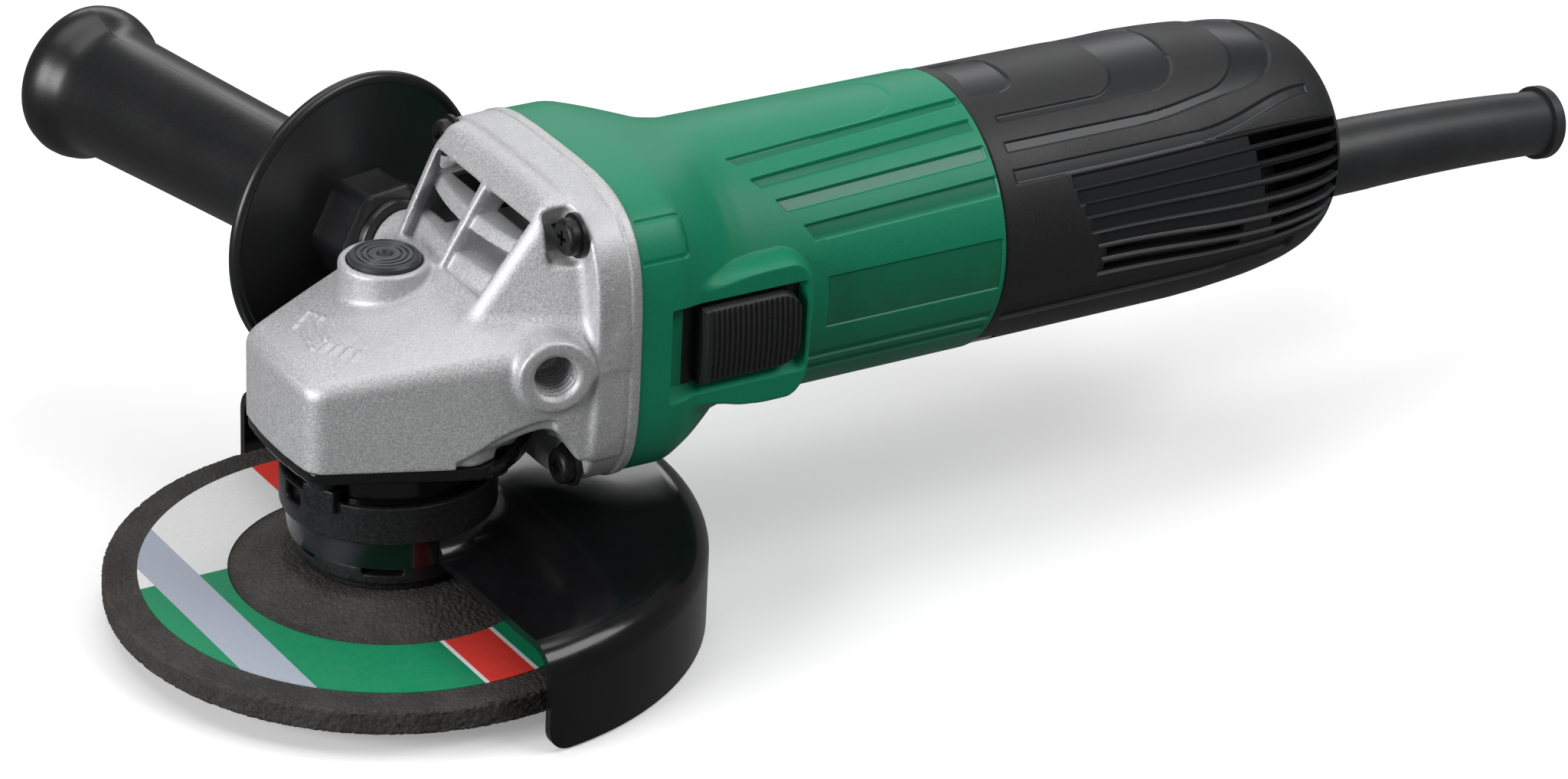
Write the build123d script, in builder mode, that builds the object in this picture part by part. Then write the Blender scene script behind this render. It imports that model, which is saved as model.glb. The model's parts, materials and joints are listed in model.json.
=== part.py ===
"""Angle grinder for a 125 mm depressed-centre wheel, as an assembly of separate pieces.

Frame: millimetres. The spindle axis is Z, and z = 0 is the grinding face of the wheel.
The motor axis runs along +X, towards the cord, at height AXIS_Z. +Y is the side with the handle.
"""

from build123d import *
from math import acos, atan, atan2, cos, pi, radians, sin, sqrt, tan
import os

os.makedirs("parts", exist_ok=True)

# ---------------------------------------------------------------- driving dimensions
AXIS_Z = 65.2  # height of the motor axis over the grinding face
FIT = 0.05  # radial clearance of a running fit

# grinding wheel, type 27
WHEEL_R, WHEEL_T, WHEEL_BORE_R, HUB_RISE = 62.5, 6.0, 11.115, 4.6
HUB_R, SLOPE_R = 23.5, 34.8
LABEL_R, LABEL_T = 54.7, 0.2
WASHER_R, WASHER_TOP = 20.6, 16.5
NUT_R, NUT_PIN_R, NUT_PIN_SPACING = 20.0, 2.5, 30.0
THREAD_R = 6.95  # M14 spindle thread

# spindle and its bearings
SEAL_R, BEARING_SEAT_R, GEAR_SEAT_R, TOP_R = 8.5, 7.5, 5.0, 3.5
SPINDLE_BEARING = (17.5, 7.5, 41.0, 52.0)  # outer radius, bore radius, low end, high end
FRONT_BEARING = (16.0, 6.0, 26.0, 36.0)
REAR_BEARING = (11.0, 4.0, 129.0, 136.0)
BUSH_R, BUSH_LOW, BUSH_HIGH = 4.6, 62.4, 67.4

# bevel gears, both with their apex where the two axes cross
MODULE, RING_TEETH, PINION_TEETH, FACE = 1.0, 38, 12, 5.5
PRESSURE, SHIFT, BACKLASH = radians(20), 0.3, 0.28
RING_R, PINION_R = MODULE * RING_TEETH / 2, MODULE * PINION_TEETH / 2
CONE_OUT = sqrt(RING_R**2 + PINION_R**2)
CONE_IN = CONE_OUT - FACE
RING_CONE, PINION_CONE = atan(RING_R / PINION_R), atan(PINION_R / RING_R)
WEB_LOW, WEB_TOP = 54.6, 60.4

# gear case
CASE_LOW, NOSE_X, NOSE_HALF, WEDGE = 42.6, -26.8, 16.8, 0.40
CHEEK_X, CHEEK_HALF = 17.0, 37.0  # where the nose's sides bend towards the flange, and their reach there
DECK_Z, DECK_SLOPE, DECK_CROWN_R = 71.4, 0.276, 80.0  # deck height on the spindle axis
FLANGE_X, JOIN_X = 29.5, 40.0
SECTION_W, SECTION_H, SECTION_POWER = 38.0, 35.0, 3.8
VENT_FOOT, VENT_TILT = (9.5, 73.9), radians(31.6)  # foot of the vent face and its lean from vertical
ROOM_R = 20.5  # gear room
BOSS_X, BOSS_Y, BOSS_Z, BOSS_TILT, BOSS_R = 20.6, 36.8, 64.4, 12.9, 8.3
M10_R = 4.25
BUTTON_X, BUTTON_Y, BUTTON_R, BUTTON_TOP = 2.5, 7.8, 8.0, 78.3
CASE_SCREW_Y, CASE_SCREW_Z, POCKET_R = 28.1, 27.2, 6.4

# packing gland and guard
GLAND_LOW, NECK_R, NECK_LOW = 39.6, 21.2, 24.2
GUARD_R, GUARD_T, GUARD_TOP, GUARD_LOW, GUARD_FILLET = 70.5, 2.0, 19.5, -4.5, 7.0
COLLAR_IN, COLLAR_OUT, CLAMP_OUT, CLAMP_LOW, CLAMP_HIGH = 21.3, 22.4, 23.9, 24.0, 33.0
EAR_ANGLE, EAR_MIDDLE, EAR_Z = 60.0, 30.5, 27.2  # the clamp screw's bearing, distance out and height

# motor housing and rear cover
BARREL_R, WALL, SPLIT_X, TAIL_X = 32.4, 2.6, 137.0, 241.0
COVER_R = 32.1
KNOB_X, KNOB_LEN, KNOB_LOW, KNOB_HIGH, SLIDE_TRAVEL = 56.2, 25.0, 54.6, 73.0, 7.5
ARMOR_BORE = 4.1

# motor
CORE_X, CORE_END, CORE_R, STATOR_R, AIR_GAP = 62.0, 100.0, 15.6, 27.0, 0.8
FAN_X, FAN_END, FAN_R = 42.5, 52.5, 26.5
COMM_X, COMM_END, COMM_R = 110.0, 124.0, 11.0

SPINDLE = Axis.Z
MOTOR = Axis((0, 0, AXIS_Z), (1, 0, 0))
SIDES = (-1, 1)


def save(piece, name):
    """Label a finished piece and write its STEP file."""
    piece.label = name
    export_step(piece, f"parts/{name}.step")


def turn_z(points):
    """A solid of revolution about the spindle axis from (radius, z) corners."""
    with BuildPart() as body:
        with BuildSketch(Plane.XZ):
            with BuildLine():
                Polyline(*points, close=True)
            make_face()
        revolve(axis=SPINDLE)
    return body.part


def turn_x(points):
    """A solid of revolution about the motor axis from (x, radius) corners."""
    with BuildPart() as body:
        with BuildSketch(Plane.XZ):
            with BuildLine():
                Polyline(*[(x, AXIS_Z + r) for x, r in points], close=True)
            make_face()
        revolve(axis=MOTOR)
    return body.part


def sleeve_z(low, high, outer, inner, x=0.0, y=0.0):
    """A ring about a vertical line."""
    with BuildPart() as ring:
        with BuildSketch(Plane.XY.offset(low)):
            with Locations((x, y)):
                Circle(outer)
                if inner:
                    Circle(inner, mode=Mode.SUBTRACT)
        extrude(amount=high - low)
    return ring.part


def sleeve_x(low, high, outer, inner=0.0, y=0.0, z=AXIS_Z):
    """A ring about a line along X."""
    with BuildPart() as ring:
        with BuildSketch(Plane.YZ.offset(low)):
            with Locations((y, z)):
                Circle(outer)
                if inner:
                    Circle(inner, mode=Mode.SUBTRACT)
        extrude(amount=high - low)
    return ring.part


def block(x, y, z):
    """A box from its lowest and highest x, y and z."""
    with BuildPart() as box:
        with Locations(((x[0] + x[1]) / 2, (y[0] + y[1]) / 2, (z[0] + z[1]) / 2)):
            Box(x[1] - x[0], y[1] - y[0], z[1] - z[0])
    return box.part


def squircle(half_w, half_h, power, count=32):
    """Points of a rounded square about the motor axis, as (y, z)."""
    points = []
    for k in range(count):
        a = 2 * pi * (k + 0.5) / count
        c, s = cos(a), sin(a)
        y = half_w * abs(c) ** (2 / power) * (1 if c > 0 else -1)
        z = half_h * abs(s) ** (2 / power) * (1 if s > 0 else -1)
        points.append((y, AXIS_Z + z))
    return points


def barrel(sections):
    """A solid along X through rounded-square sections, each (x, half width, half height, power)."""
    with BuildPart() as body:
        for x, half_w, half_h, power in sections:
            with BuildSketch(Plane.YZ.offset(x)):
                with BuildLine():
                    Spline(*squircle(half_w, half_h, power), periodic=True)
                make_face()
        loft()
    return body.part


# ---------------------------------------------------------------- bevel gears
def involute(angle):
    return tan(angle) - angle


def tooth_outline(teeth, cone, addendum, dedendum, shift, height, phase):
    """Corners of a bevel tooth ring in the plane `height` below its apex, along its own axis.

    The flanks are involutes of the equivalent spur gear. Every line through the apex lies on them.
    """
    radius = MODULE * teeth / 2
    virtual = radius / cos(cone)
    base = virtual * cos(PRESSURE)
    half = (pi / 4 * MODULE + shift * MODULE * tan(PRESSURE) - BACKLASH / 4) / virtual
    flank = []
    for step in range(5):
        offset = -dedendum + (addendum + dedendum) * step / 4
        rho = virtual + offset
        pressure = acos(min(1.0, base / rho))
        width = rho * (half + involute(PRESSURE) - involute(pressure))
        across = max(width, 0.12) / (radius + offset * cos(cone))
        flank.append((height * tan(cone + atan(offset / CONE_OUT)), across))
    points = []
    for tooth in range(teeth):
        middle = 2 * pi * (tooth + phase) / teeth
        sides = [(r, middle - a) for r, a in flank] + [(r, middle + a) for r, a in reversed(flank)]
        points += [(r * cos(a), r * sin(a)) for r, a in sides]
    return points


def bevel_teeth(teeth, cone, addendum, dedendum, shift, phase):
    """The tooth ring about +Z, apex at the origin, trimmed by its front and back cones."""
    near = 0.9 * CONE_IN * cos(cone + atan(addendum / CONE_OUT))
    far = 1.1 * CONE_OUT * cos(cone - atan(dedendum / CONE_OUT))
    along, out = (sin(cone), cos(cone)), (cos(cone), -sin(cone))
    corners = ((CONE_IN, 3.0), (CONE_OUT, 3.0), (CONE_OUT, -2.3), (CONE_IN, -2.3))
    with BuildPart() as ring:
        for height in (near, far):
            with BuildSketch(Plane.XY.offset(height)):
                with BuildLine():
                    outline = tooth_outline(teeth, cone, addendum, dedendum, shift, height, phase)
                    Polyline(*outline, close=True)
                make_face()
        loft(ruled=True)
        with BuildSketch(Plane.XZ):
            with BuildLine():
                flat = [(d * along[0] + n * out[0], d * along[1] + n * out[1]) for d, n in corners]
                Polyline(*flat, close=True)
            make_face()
        revolve(axis=Axis.Z, mode=Mode.INTERSECT)
    return ring.part


def cone_point(cone, distance, normal):
    """(radius, height) of a point beside the pitch cone."""
    return (distance * sin(cone) + normal * cos(cone), distance * cos(cone) - normal * sin(cone))


def bevel_gear():
    ring = Plane(origin=(0, 0, AXIS_Z), x_dir=(1, 0, 0), z_dir=(0, 0, -1)) * bevel_teeth(
        RING_TEETH, RING_CONE, 1 - SHIFT, 1.25 + SHIFT, -SHIFT, 0.0
    )
    inner, outer = cone_point(RING_CONE, CONE_IN, -1.9), cone_point(RING_CONE, CONE_OUT, -1.9)
    lock_azimuth = atan2(BUTTON_Y, BUTTON_X)
    lock_circle = sqrt(BUTTON_X**2 + BUTTON_Y**2)
    with BuildPart() as gear:
        add(ring)
        with BuildSketch(Plane.XZ):
            with BuildLine():
                Polyline(
                    (GEAR_SEAT_R, WEB_TOP), (inner[0] - 1.2, WEB_TOP), (inner[0], AXIS_Z - inner[1]),
                    (outer[0], AXIS_Z - outer[1]), (outer[0] - 1.5, WEB_LOW), (11, WEB_LOW),
                    (9.6, 52.6), (GEAR_SEAT_R, 52.6), close=True,
                )
            make_face()
        revolve(axis=SPINDLE)
        for turn in (0, pi / 2, pi, 3 * pi / 2):
            azimuth = lock_azimuth + turn
            with Locations((lock_circle * cos(azimuth), lock_circle * sin(azimuth), WEB_TOP - 2)):
                Cylinder(2.35, 4.2, mode=Mode.SUBTRACT)
    return gear.part


def pinion():
    teeth = Plane(origin=(0, 0, AXIS_Z), x_dir=(0, 0, -1), z_dir=(1, 0, 0)) * bevel_teeth(
        PINION_TEETH, PINION_CONE, 1 + SHIFT, 1.25 - SHIFT, SHIFT, 0.5
    )
    inner, outer = cone_point(PINION_CONE, CONE_IN, -1.3), cone_point(PINION_CONE, CONE_OUT, -1.3)
    with BuildPart() as gear:
        add(teeth)
        hub = [(20.4, 5.6), (23.6, 5.6), (23.6, 0)]
        add(turn_x([(inner[1], 0), (inner[1], inner[0]), (outer[1], outer[0])] + hub))
        add(sleeve_x(5, 30, 2.5), mode=Mode.SUBTRACT)
    return gear.part


save(bevel_gear(), "bevel_gear")
save(pinion(), "pinion")


# ---------------------------------------------------------------- wheel stack
def grinding_wheel():
    return turn_z([
        (WHEEL_BORE_R, HUB_RISE), (HUB_R + 1, HUB_RISE), (SLOPE_R + 1, 0), (WHEEL_R, 0), (WHEEL_R, WHEEL_T),
        (SLOPE_R, WHEEL_T), (HUB_R, WHEEL_T + HUB_RISE), (WHEEL_BORE_R, WHEEL_T + HUB_RISE),
    ])


def wheel_washer():
    """The inner flange, with a pilot in the wheel's bore and six notches round its upper edge."""
    with BuildPart() as washer:
        add(turn_z([
            (THREAD_R, WHEEL_T + HUB_RISE - 2.6), (WHEEL_BORE_R - FIT, WHEEL_T + HUB_RISE - 2.6),
            (WHEEL_BORE_R - FIT, WHEEL_T + HUB_RISE), (19.4, WHEEL_T + HUB_RISE), (19.4, 12.2),
            (WASHER_R, 12.8), (WASHER_R, WASHER_TOP), (THREAD_R, WASHER_TOP),
        ]))
        with BuildSketch(Plane.XY.offset(WASHER_TOP - 1.6)):
            with PolarLocations(WASHER_R - 0.8, 6, start_angle=-60):
                Rectangle(4.4, 9)
        extrude(amount=3, mode=Mode.SUBTRACT)
    return washer.part


def wheel_nut():
    with BuildPart() as nut:
        add(turn_z([
            (THREAD_R, 0), (NUT_R - 0.8, 0), (NUT_R, 0.8), (NUT_R, HUB_RISE), (WHEEL_BORE_R - FIT, HUB_RISE),
            (WHEEL_BORE_R - FIT, HUB_RISE + 2.8), (THREAD_R, HUB_RISE + 2.8),
        ]))
        with BuildSketch(Plane.XY):
            with Locations((-NUT_PIN_SPACING / 2, 0), (NUT_PIN_SPACING / 2, 0)):
                Circle(NUT_PIN_R)
        extrude(amount=HUB_RISE, mode=Mode.SUBTRACT)
    return nut.part


save(grinding_wheel(), "grinding_wheel")
save(sleeve_z(WHEEL_T, WHEEL_T + LABEL_T, LABEL_R, SLOPE_R + 0.3), "wheel_label")
save(wheel_washer(), "wheel_washer")
save(wheel_nut(), "wheel_nut")


# ---------------------------------------------------------------- spindle, seals and bearings
def spindle():
    return turn_z([
        (0, 0.8), (THREAD_R - 0.8, 0.8), (THREAD_R, 1.6), (THREAD_R, WASHER_TOP), (SEAL_R, WASHER_TOP),
        (SEAL_R, 41), (BEARING_SEAT_R, 41), (BEARING_SEAT_R, 52.3), (GEAR_SEAT_R, 52.3), (GEAR_SEAT_R, 61.8),
        (TOP_R - FIT, 61.8), (TOP_R - FIT, 66.6), (2.6, 67.2), (0, 67.2),
    ])


def circlip():
    with BuildPart() as ring:
        add(sleeve_z(WEB_TOP, WEB_TOP + 1, 6.0, GEAR_SEAT_R))
        add(block((-9, 0), (-1.5, 1.5), (WEB_TOP - 1, WEB_TOP + 2)), mode=Mode.SUBTRACT)
    return ring.part


def bearing(outer, bore, low, high, along_x):
    """Outer ring, inner ring and balls of a deep-groove ball bearing."""
    depth = outer - bore
    middle, pitch, ball = (low + high) / 2, (outer + bore) / 2, depth * 0.27
    gap, groove = 0.03, depth * 0.18
    rings = (
        [(outer, low), (outer, high), (pitch + groove, high), (pitch + groove, low)],
        [(bore, low), (bore, high), (pitch - groove, high), (pitch - groove, low)],
    )
    made = []
    for corners in rings:
        with BuildPart() as ring:
            add(turn_x([(z, r) for r, z in corners]) if along_x else turn_z(corners))
            with BuildSketch(Plane.XZ):
                with Locations((middle, AXIS_Z + pitch) if along_x else (pitch, middle)):
                    Circle(ball + gap)
            revolve(axis=MOTOR if along_x else SPINDLE, mode=Mode.SUBTRACT)
        made.append(ring.part)
    count = int(2 * pi * pitch / (ball * 2.9))
    with BuildPart() as balls:
        for k in range(count):
            a = 2 * pi * k / count
            across, up = pitch * cos(a), pitch * sin(a)
            place = (middle, across, AXIS_Z + up) if along_x else (across, up, middle)
            with Locations(place):
                Sphere(ball)
    return made[0], made[1], balls.part


for label, size, along_x in (
    ("spindle_bearing", SPINDLE_BEARING, False),
    ("front_bearing", FRONT_BEARING, True),
    ("rear_bearing", REAR_BEARING, True),
):
    for half, piece in zip(("outer", "inner", "balls"), bearing(*size, along_x)):
        save(piece, f"{label}_{half}")

save(spindle(), "spindle")
save(circlip(), "gear_circlip")
save(sleeve_z(BUSH_LOW, BUSH_HIGH, BUSH_R, TOP_R), "top_bush")
save(sleeve_z(52.0, 53.2, 20.3, 12.4), "bearing_retainer")
save(sleeve_z(31.0, 35.0, 12.0, SEAL_R + FIT), "dust_seal")


# ---------------------------------------------------------------- packing gland
def wedge_half(x, inset=0.0):
    return NOSE_HALF + WEDGE * (x - NOSE_X) - inset


def nose_outline(x_end, inset=0.0, bow=1.4):
    """The plan of the gear case's nose: a bowed front and two straight sides that spread."""
    with BuildLine() as edge:
        front = (NOSE_X + inset, wedge_half(NOSE_X, inset))
        ThreePointArc((front[0], -front[1]), (front[0] - bow, 0), front)
        half_side = [front, (CHEEK_X, wedge_half(CHEEK_X, inset)), (x_end, CHEEK_HALF - inset)]
        Polyline(*half_side, *[(x, -y) for x, y in reversed(half_side)])
    return edge


GLAND_SCREWS = ((-22.0, 12.2), (-22.0, -12.2), (13.5, 22.5), (13.5, -22.5))


def packing_gland():
    with BuildPart() as gland:
        with BuildSketch(Plane.XY.offset(GLAND_LOW)):
            add(nose_outline(28, 0.5).line)
            make_face()
        extrude(amount=CASE_LOW - GLAND_LOW)
        fillet(gland.edges().filter_by(Axis.Z).group_by(Axis.X)[0], 3)
        add(sleeve_z(GLAND_LOW - 1, CASE_LOW + 1, 80, 31.2), mode=Mode.SUBTRACT)
        add(sleeve_z(CASE_LOW, 52.0, ROOM_R - 0.02, 0))
        add(sleeve_z(NECK_LOW, GLAND_LOW, NECK_R, 0))
        add(sleeve_z(SPINDLE_BEARING[2], 60, SPINDLE_BEARING[0], 0), mode=Mode.SUBTRACT)
        add(sleeve_z(10, 60, 10.2, 0), mode=Mode.SUBTRACT)
        add(sleeve_z(31.0, 35.0, 12.0, 0), mode=Mode.SUBTRACT)
        for x, y in GLAND_SCREWS:
            add(sleeve_z(30, 60, 2.1, 0, x, y), mode=Mode.SUBTRACT)
    return gland.part


def pan_screw_z(x, y, head_low, length, head_r=3.4, shank_r=2.0):
    """A cross-recessed pan head screw that points up."""
    with BuildPart() as screw:
        add(sleeve_z(head_low, head_low + 2.4, head_r, 0, x, y))
        fillet(screw.edges().sort_by(Axis.Z)[0], 1.0)
        add(sleeve_z(head_low + 2.4, head_low + 2.4 + length, shank_r, 0, x, y))
        with BuildSketch(Plane.XY.offset(head_low)):
            with Locations((x, y)):
                Rectangle(head_r, 0.8)
                Rectangle(0.8, head_r)
        extrude(amount=1.1, mode=Mode.SUBTRACT)
    return screw.part


def gland_screws():
    with BuildPart() as screws:
        for x, y in GLAND_SCREWS:
            add(pan_screw_z(x, y, GLAND_LOW - 2.4, 11))
    return screws.part


save(packing_gland(), "packing_gland")
save(gland_screws(), "gland_screws")


# ---------------------------------------------------------------- gear case
def deck_height(x):
    return DECK_Z + DECK_SLOPE * x


def nose_body():
    """The wedge-shaped nose under the sloping, slightly crowned deck."""
    lean = atan(DECK_SLOPE)
    down = DECK_CROWN_R / cos(lean)
    with BuildPart() as nose:
        with BuildSketch(Plane.XY.offset(CASE_LOW)):
            add(nose_outline(34).line)
            make_face()
        extrude(amount=60)
        fillet(nose.edges().filter_by(Axis.Z).group_by(Axis.X)[0], 3.4)
        along = Plane(origin=(-60, 0, deck_height(-60) - down), z_dir=(cos(lean), 0, sin(lean)))
        with BuildSketch(along):
            Circle(DECK_CROWN_R)
        extrude(amount=160, mode=Mode.INTERSECT)
        rim = nose.edges().filter_by(lambda e: e.center().Z > 55 and abs(e.center().X - 34) > 0.5)
        fillet(rim.filter_by(lambda e: not e.is_closed and e.length > 2), 2.8)
    return nose.part


def arch():
    """What the arch over the guard takes away: all below it, but for the gland's seat."""
    with BuildPart() as space:
        with BuildSketch(Plane.XZ.offset(-60)):
            with BuildLine():
                rise = Spline((-6, CASE_LOW - 0.2), (9, 46.6), (18, 50.4), tangents=((1, 0.02), (1, 0.2)))
                fall = Spline(rise @ 1, (25.5, 47.0), (FLANGE_X, 36), tangents=((1, 0.2), (0.15, -1)))
                Polyline(fall @ 1, (FLANGE_X, 20), (-6, 20), rise @ 0)
            make_face()
        extrude(amount=120)
        add(sleeve_z(10, 80, 29.2, 0), mode=Mode.SUBTRACT)
    return space.part


def vent_plane(depth=0.0):
    """The leaning plane of the vent face, `depth` behind it; local x is +Y, local y runs up the face."""
    inward = (cos(VENT_TILT), 0, -sin(VENT_TILT))
    origin = (VENT_FOOT[0] + depth * inward[0], 0, VENT_FOOT[1] + depth * inward[2])
    return Plane(origin=origin, x_dir=(0, 1, 0), z_dir=inward)


def mirrored(side):
    """A closed outline from the corners of its +Y half."""
    return [(-y, z) for y, z in side] + side[::-1]


def hood(inset=0.0, low=-8.0):
    """The faceted rear of the case, from the vent face to the flange. An inset gives its inside."""
    foot = 56.0 if inset == 0 else AXIS_Z - 6
    face_side = [(17.6, low), (23.4, 19.0), (22.8, 26.0 - inset * 0.6), (19.0, 30.0 - inset * 0.6)]
    back_side = [(37.4, foot), (37.0, 78.0), (33.4, 90.0 - inset), (24.0, 99.2 - inset)]
    face = mirrored([(y - inset, z) for y, z in face_side])
    back = mirrored([(y - inset, z) for y, z in back_side])
    with BuildPart() as body:
        with BuildSketch(vent_plane(inset)):
            with BuildLine():
                Polyline(*face, close=True)
            make_face()
        with BuildSketch(Plane.YZ.offset(FLANGE_X + 1)):
            with BuildLine():
                Polyline(*back, close=True)
            make_face()
        loft(ruled=True)
    return body.part


def vent_windows():
    """Recesses between the three ribs, their floor bowed forwards, and the slots through the floor."""
    bow_r, rib, low_side, high_side = 58.0, 1.2, 18.3, 22.0
    with BuildPart() as windows:
        with BuildSketch(vent_plane(-3)):
            for sign in SIDES:
                with BuildLine():
                    Polyline(
                        (sign * rib, 4.2), (sign * low_side, 4.2), (sign * high_side, 22.6), (sign * rib, 22.6),
                        close=True,
                    )
                make_face()
        extrude(amount=11)
        with BuildSketch(Plane(
            origin=(VENT_FOOT[0] - 10 * sin(VENT_TILT), 0, VENT_FOOT[1] - 10 * cos(VENT_TILT)),
            x_dir=(0, 1, 0), z_dir=(sin(VENT_TILT), 0, cos(VENT_TILT)),
        )):
            with Locations((0, -bow_r - 1.2)):
                Circle(bow_r)
        extrude(amount=60, mode=Mode.SUBTRACT)
        for low, high, side in ((80.9, 84.1, 18.6), (88.5, 91.6, 20.6)):
            for sign in SIDES:
                with Locations((20, sign * (rib + side) / 2, (low + high) / 2)):
                    Box(24, side - rib, high - low)
    return windows.part


def boss_frame(sign, distance=0.0):
    """A plane on a handle boss's face, looking along its thread out of the case."""
    t = radians(BOSS_TILT)
    out = (-sin(t), sign * cos(t), 0)
    return Plane(
        origin=(BOSS_X + out[0] * distance, sign * BOSS_Y + out[1] * distance, BOSS_Z),
        x_dir=(0, 0, 1),
        z_dir=out,
    )


def corner_places():
    """The four gear case screws, as (y, z)."""
    return [(y * CASE_SCREW_Y, AXIS_Z + z * CASE_SCREW_Z) for y in SIDES for z in SIDES]


def air_room():
    """The space behind the vents, less the bearing boss and the screw posts that stand in it."""
    inner = (SECTION_W - 4.5, SECTION_H - 4.5, SECTION_POWER)
    with BuildPart() as room:
        add(hood(3.2, 4.0))
        add(barrel([(FLANGE_X + 1.5, *inner), (JOIN_X + 1, *inner)]))
        add(sleeve_x(10, FRONT_BEARING[3], 19.6), mode=Mode.SUBTRACT)
        for place in corner_places():
            add(sleeve_x(0, FLANGE_X + 1.6, POCKET_R + 1.8, 0, *place), mode=Mode.SUBTRACT)
            add(sleeve_x(FLANGE_X, JOIN_X + 2, 4.6, 0, *place), mode=Mode.SUBTRACT)
    return room.part


def gear_case():
    with BuildPart() as case:
        add(nose_body())
        add(arch(), mode=Mode.SUBTRACT)
        add(hood())
        square = (SECTION_W, SECTION_H, SECTION_POWER)
        add(barrel([(FLANGE_X, *square), (JOIN_X, *square)]))
        add(sleeve_x(20, FLANGE_X + 1, 20.0))
        for sign in SIDES:
            with BuildSketch(boss_frame(sign, -14)):
                Circle(BOSS_R + 0.8)
            extrude(amount=14, taper=3.4)
        add(sleeve_z(60, 77.0, 10.0, 0, BUTTON_X, BUTTON_Y))
        # lock button's bore, its pin's bore and the top bush's seat
        add(sleeve_z(69.0, 90, BUTTON_R + 0.35, 0, BUTTON_X, BUTTON_Y), mode=Mode.SUBTRACT)
        add(sleeve_z(55, 80, 2.1, 0, BUTTON_X, BUTTON_Y), mode=Mode.SUBTRACT)
        add(sleeve_z(55, BUSH_HIGH, BUSH_R, 0), mode=Mode.SUBTRACT)
        # the air room behind the vents, with the bearing boss left standing in it
        add(air_room(), mode=Mode.SUBTRACT)
        add(vent_windows(), mode=Mode.SUBTRACT)
        # gear room, pinion tunnel and front bearing seat
        room = turn_z([(0, 30), (ROOM_R, 30), (ROOM_R, 60.9), (15, BUSH_LOW), (0, BUSH_LOW)])
        add(room, mode=Mode.SUBTRACT)
        add(sleeve_x(8.4, 30, 8.2), mode=Mode.SUBTRACT)
        add(sleeve_x(FRONT_BEARING[2], 41, FRONT_BEARING[0]), mode=Mode.SUBTRACT)
        # screw pockets and clearance holes
        for place in corner_places():
            add(sleeve_x(0, FLANGE_X, POCKET_R, 0, *place), mode=Mode.SUBTRACT)
            add(sleeve_x(0, 41, 2.2, 0, *place), mode=Mode.SUBTRACT)
        for x, y in GLAND_SCREWS:
            add(sleeve_z(30, 52.8, 2.0, 0, x, y), mode=Mode.SUBTRACT)
        for sign in SIDES:
            with BuildSketch(boss_frame(sign)):
                Circle(M10_R)
            extrude(amount=-13, mode=Mode.SUBTRACT)
            with BuildSketch(boss_frame(sign)):
                Circle(M10_R + 1)
            extrude(amount=-1, taper=45, mode=Mode.SUBTRACT)
    return case.part


save(gear_case(), "gear_case")


# ---------------------------------------------------------------- spindle lock
def lock_button():
    """A rubber-capped button with rings in its top and a pocket for the spring."""
    skirt = BUTTON_TOP - 5.2
    with BuildPart() as button:
        add(sleeve_z(skirt, BUTTON_TOP, BUTTON_R, 0, BUTTON_X, BUTTON_Y))
        fillet(button.edges().sort_by(Axis.Z)[-1], 1.1)
        for ring in (1.5, 3.3, 5.0, 6.3):
            add(sleeve_z(BUTTON_TOP - 0.35, 90, ring + 0.3, ring - 0.3, BUTTON_X, BUTTON_Y), mode=Mode.SUBTRACT)
        add(sleeve_z(skirt, skirt + 3.2, 6.2, 2.0, BUTTON_X, BUTTON_Y), mode=Mode.SUBTRACT)
        add(sleeve_z(skirt, skirt + 3.2, 2.0, 0, BUTTON_X, BUTTON_Y), mode=Mode.SUBTRACT)
    return button.part


def coil_spring(radius, wire, low, high, turns, x, y):
    with BuildPart() as spring:
        with BuildLine():
            path = Helix((high - low) / turns, high - low, radius, center=(x, y, low))
        with BuildSketch(Plane(origin=path @ 0, z_dir=path % 0)):
            Circle(wire)
        sweep()
    return spring.part


PIN_LOW = 61.0
save(lock_button(), "lock_button")
save(sleeve_z(PIN_LOW, BUTTON_TOP - 2.0, 2.0, 0, BUTTON_X, BUTTON_Y), "lock_pin")
save(coil_spring(4.6, 0.4, 69.5, 75.8, 4, BUTTON_X, BUTTON_Y), "lock_spring")


# ---------------------------------------------------------------- guard
def guard_wall():
    """Half of the turned guard: a plate, a rounded corner and a rim, all one thickness."""
    top, low, out = GUARD_TOP, GUARD_LOW, GUARD_R
    inner_fillet = GUARD_FILLET - GUARD_T
    rise = 5.0
    with BuildPart() as wall:
        with BuildSketch(Plane.XZ):
            with BuildLine():
                Polyline(
                    (COLLAR_OUT, CLAMP_LOW - 0.4), (COLLAR_IN, CLAMP_LOW - 0.4), (COLLAR_IN, top - GUARD_T),
                )
                Line((COLLAR_IN, top - GUARD_T), (out - GUARD_FILLET, top - GUARD_T))
                Polyline(
                    (out - GUARD_T, top - GUARD_FILLET), (out - GUARD_T, low),
                    (out, low), (out, top - GUARD_FILLET),
                )
                RadiusArc(
                    (out - GUARD_FILLET, top - GUARD_T), (out - GUARD_T, top - GUARD_FILLET), inner_fillet,
                )
                RadiusArc((out - GUARD_FILLET, top), (out, top - GUARD_FILLET), GUARD_FILLET)
                Line((out - GUARD_FILLET, top), (COLLAR_OUT + rise, top))
                RadiusArc((COLLAR_OUT, CLAMP_LOW - 0.4), (COLLAR_OUT + rise, top), -rise)
            make_face()
        revolve(axis=SPINDLE, revolution_arc=180)
    return wall.part


def guard():
    start = -88.0
    with BuildPart() as piece:
        add(guard_wall().rotate(Axis.Z, start))
        corners = piece.edges().filter_by(
            lambda e: abs(e.center().Z - GUARD_LOW) < 0.01 and abs(e.length - GUARD_T) < 0.05
        )
        fillet(corners, 5)
        add(sleeve_z(GUARD_TOP - GUARD_T, CLAMP_HIGH - 0.3, COLLAR_OUT, COLLAR_IN))
    return piece.part


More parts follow.
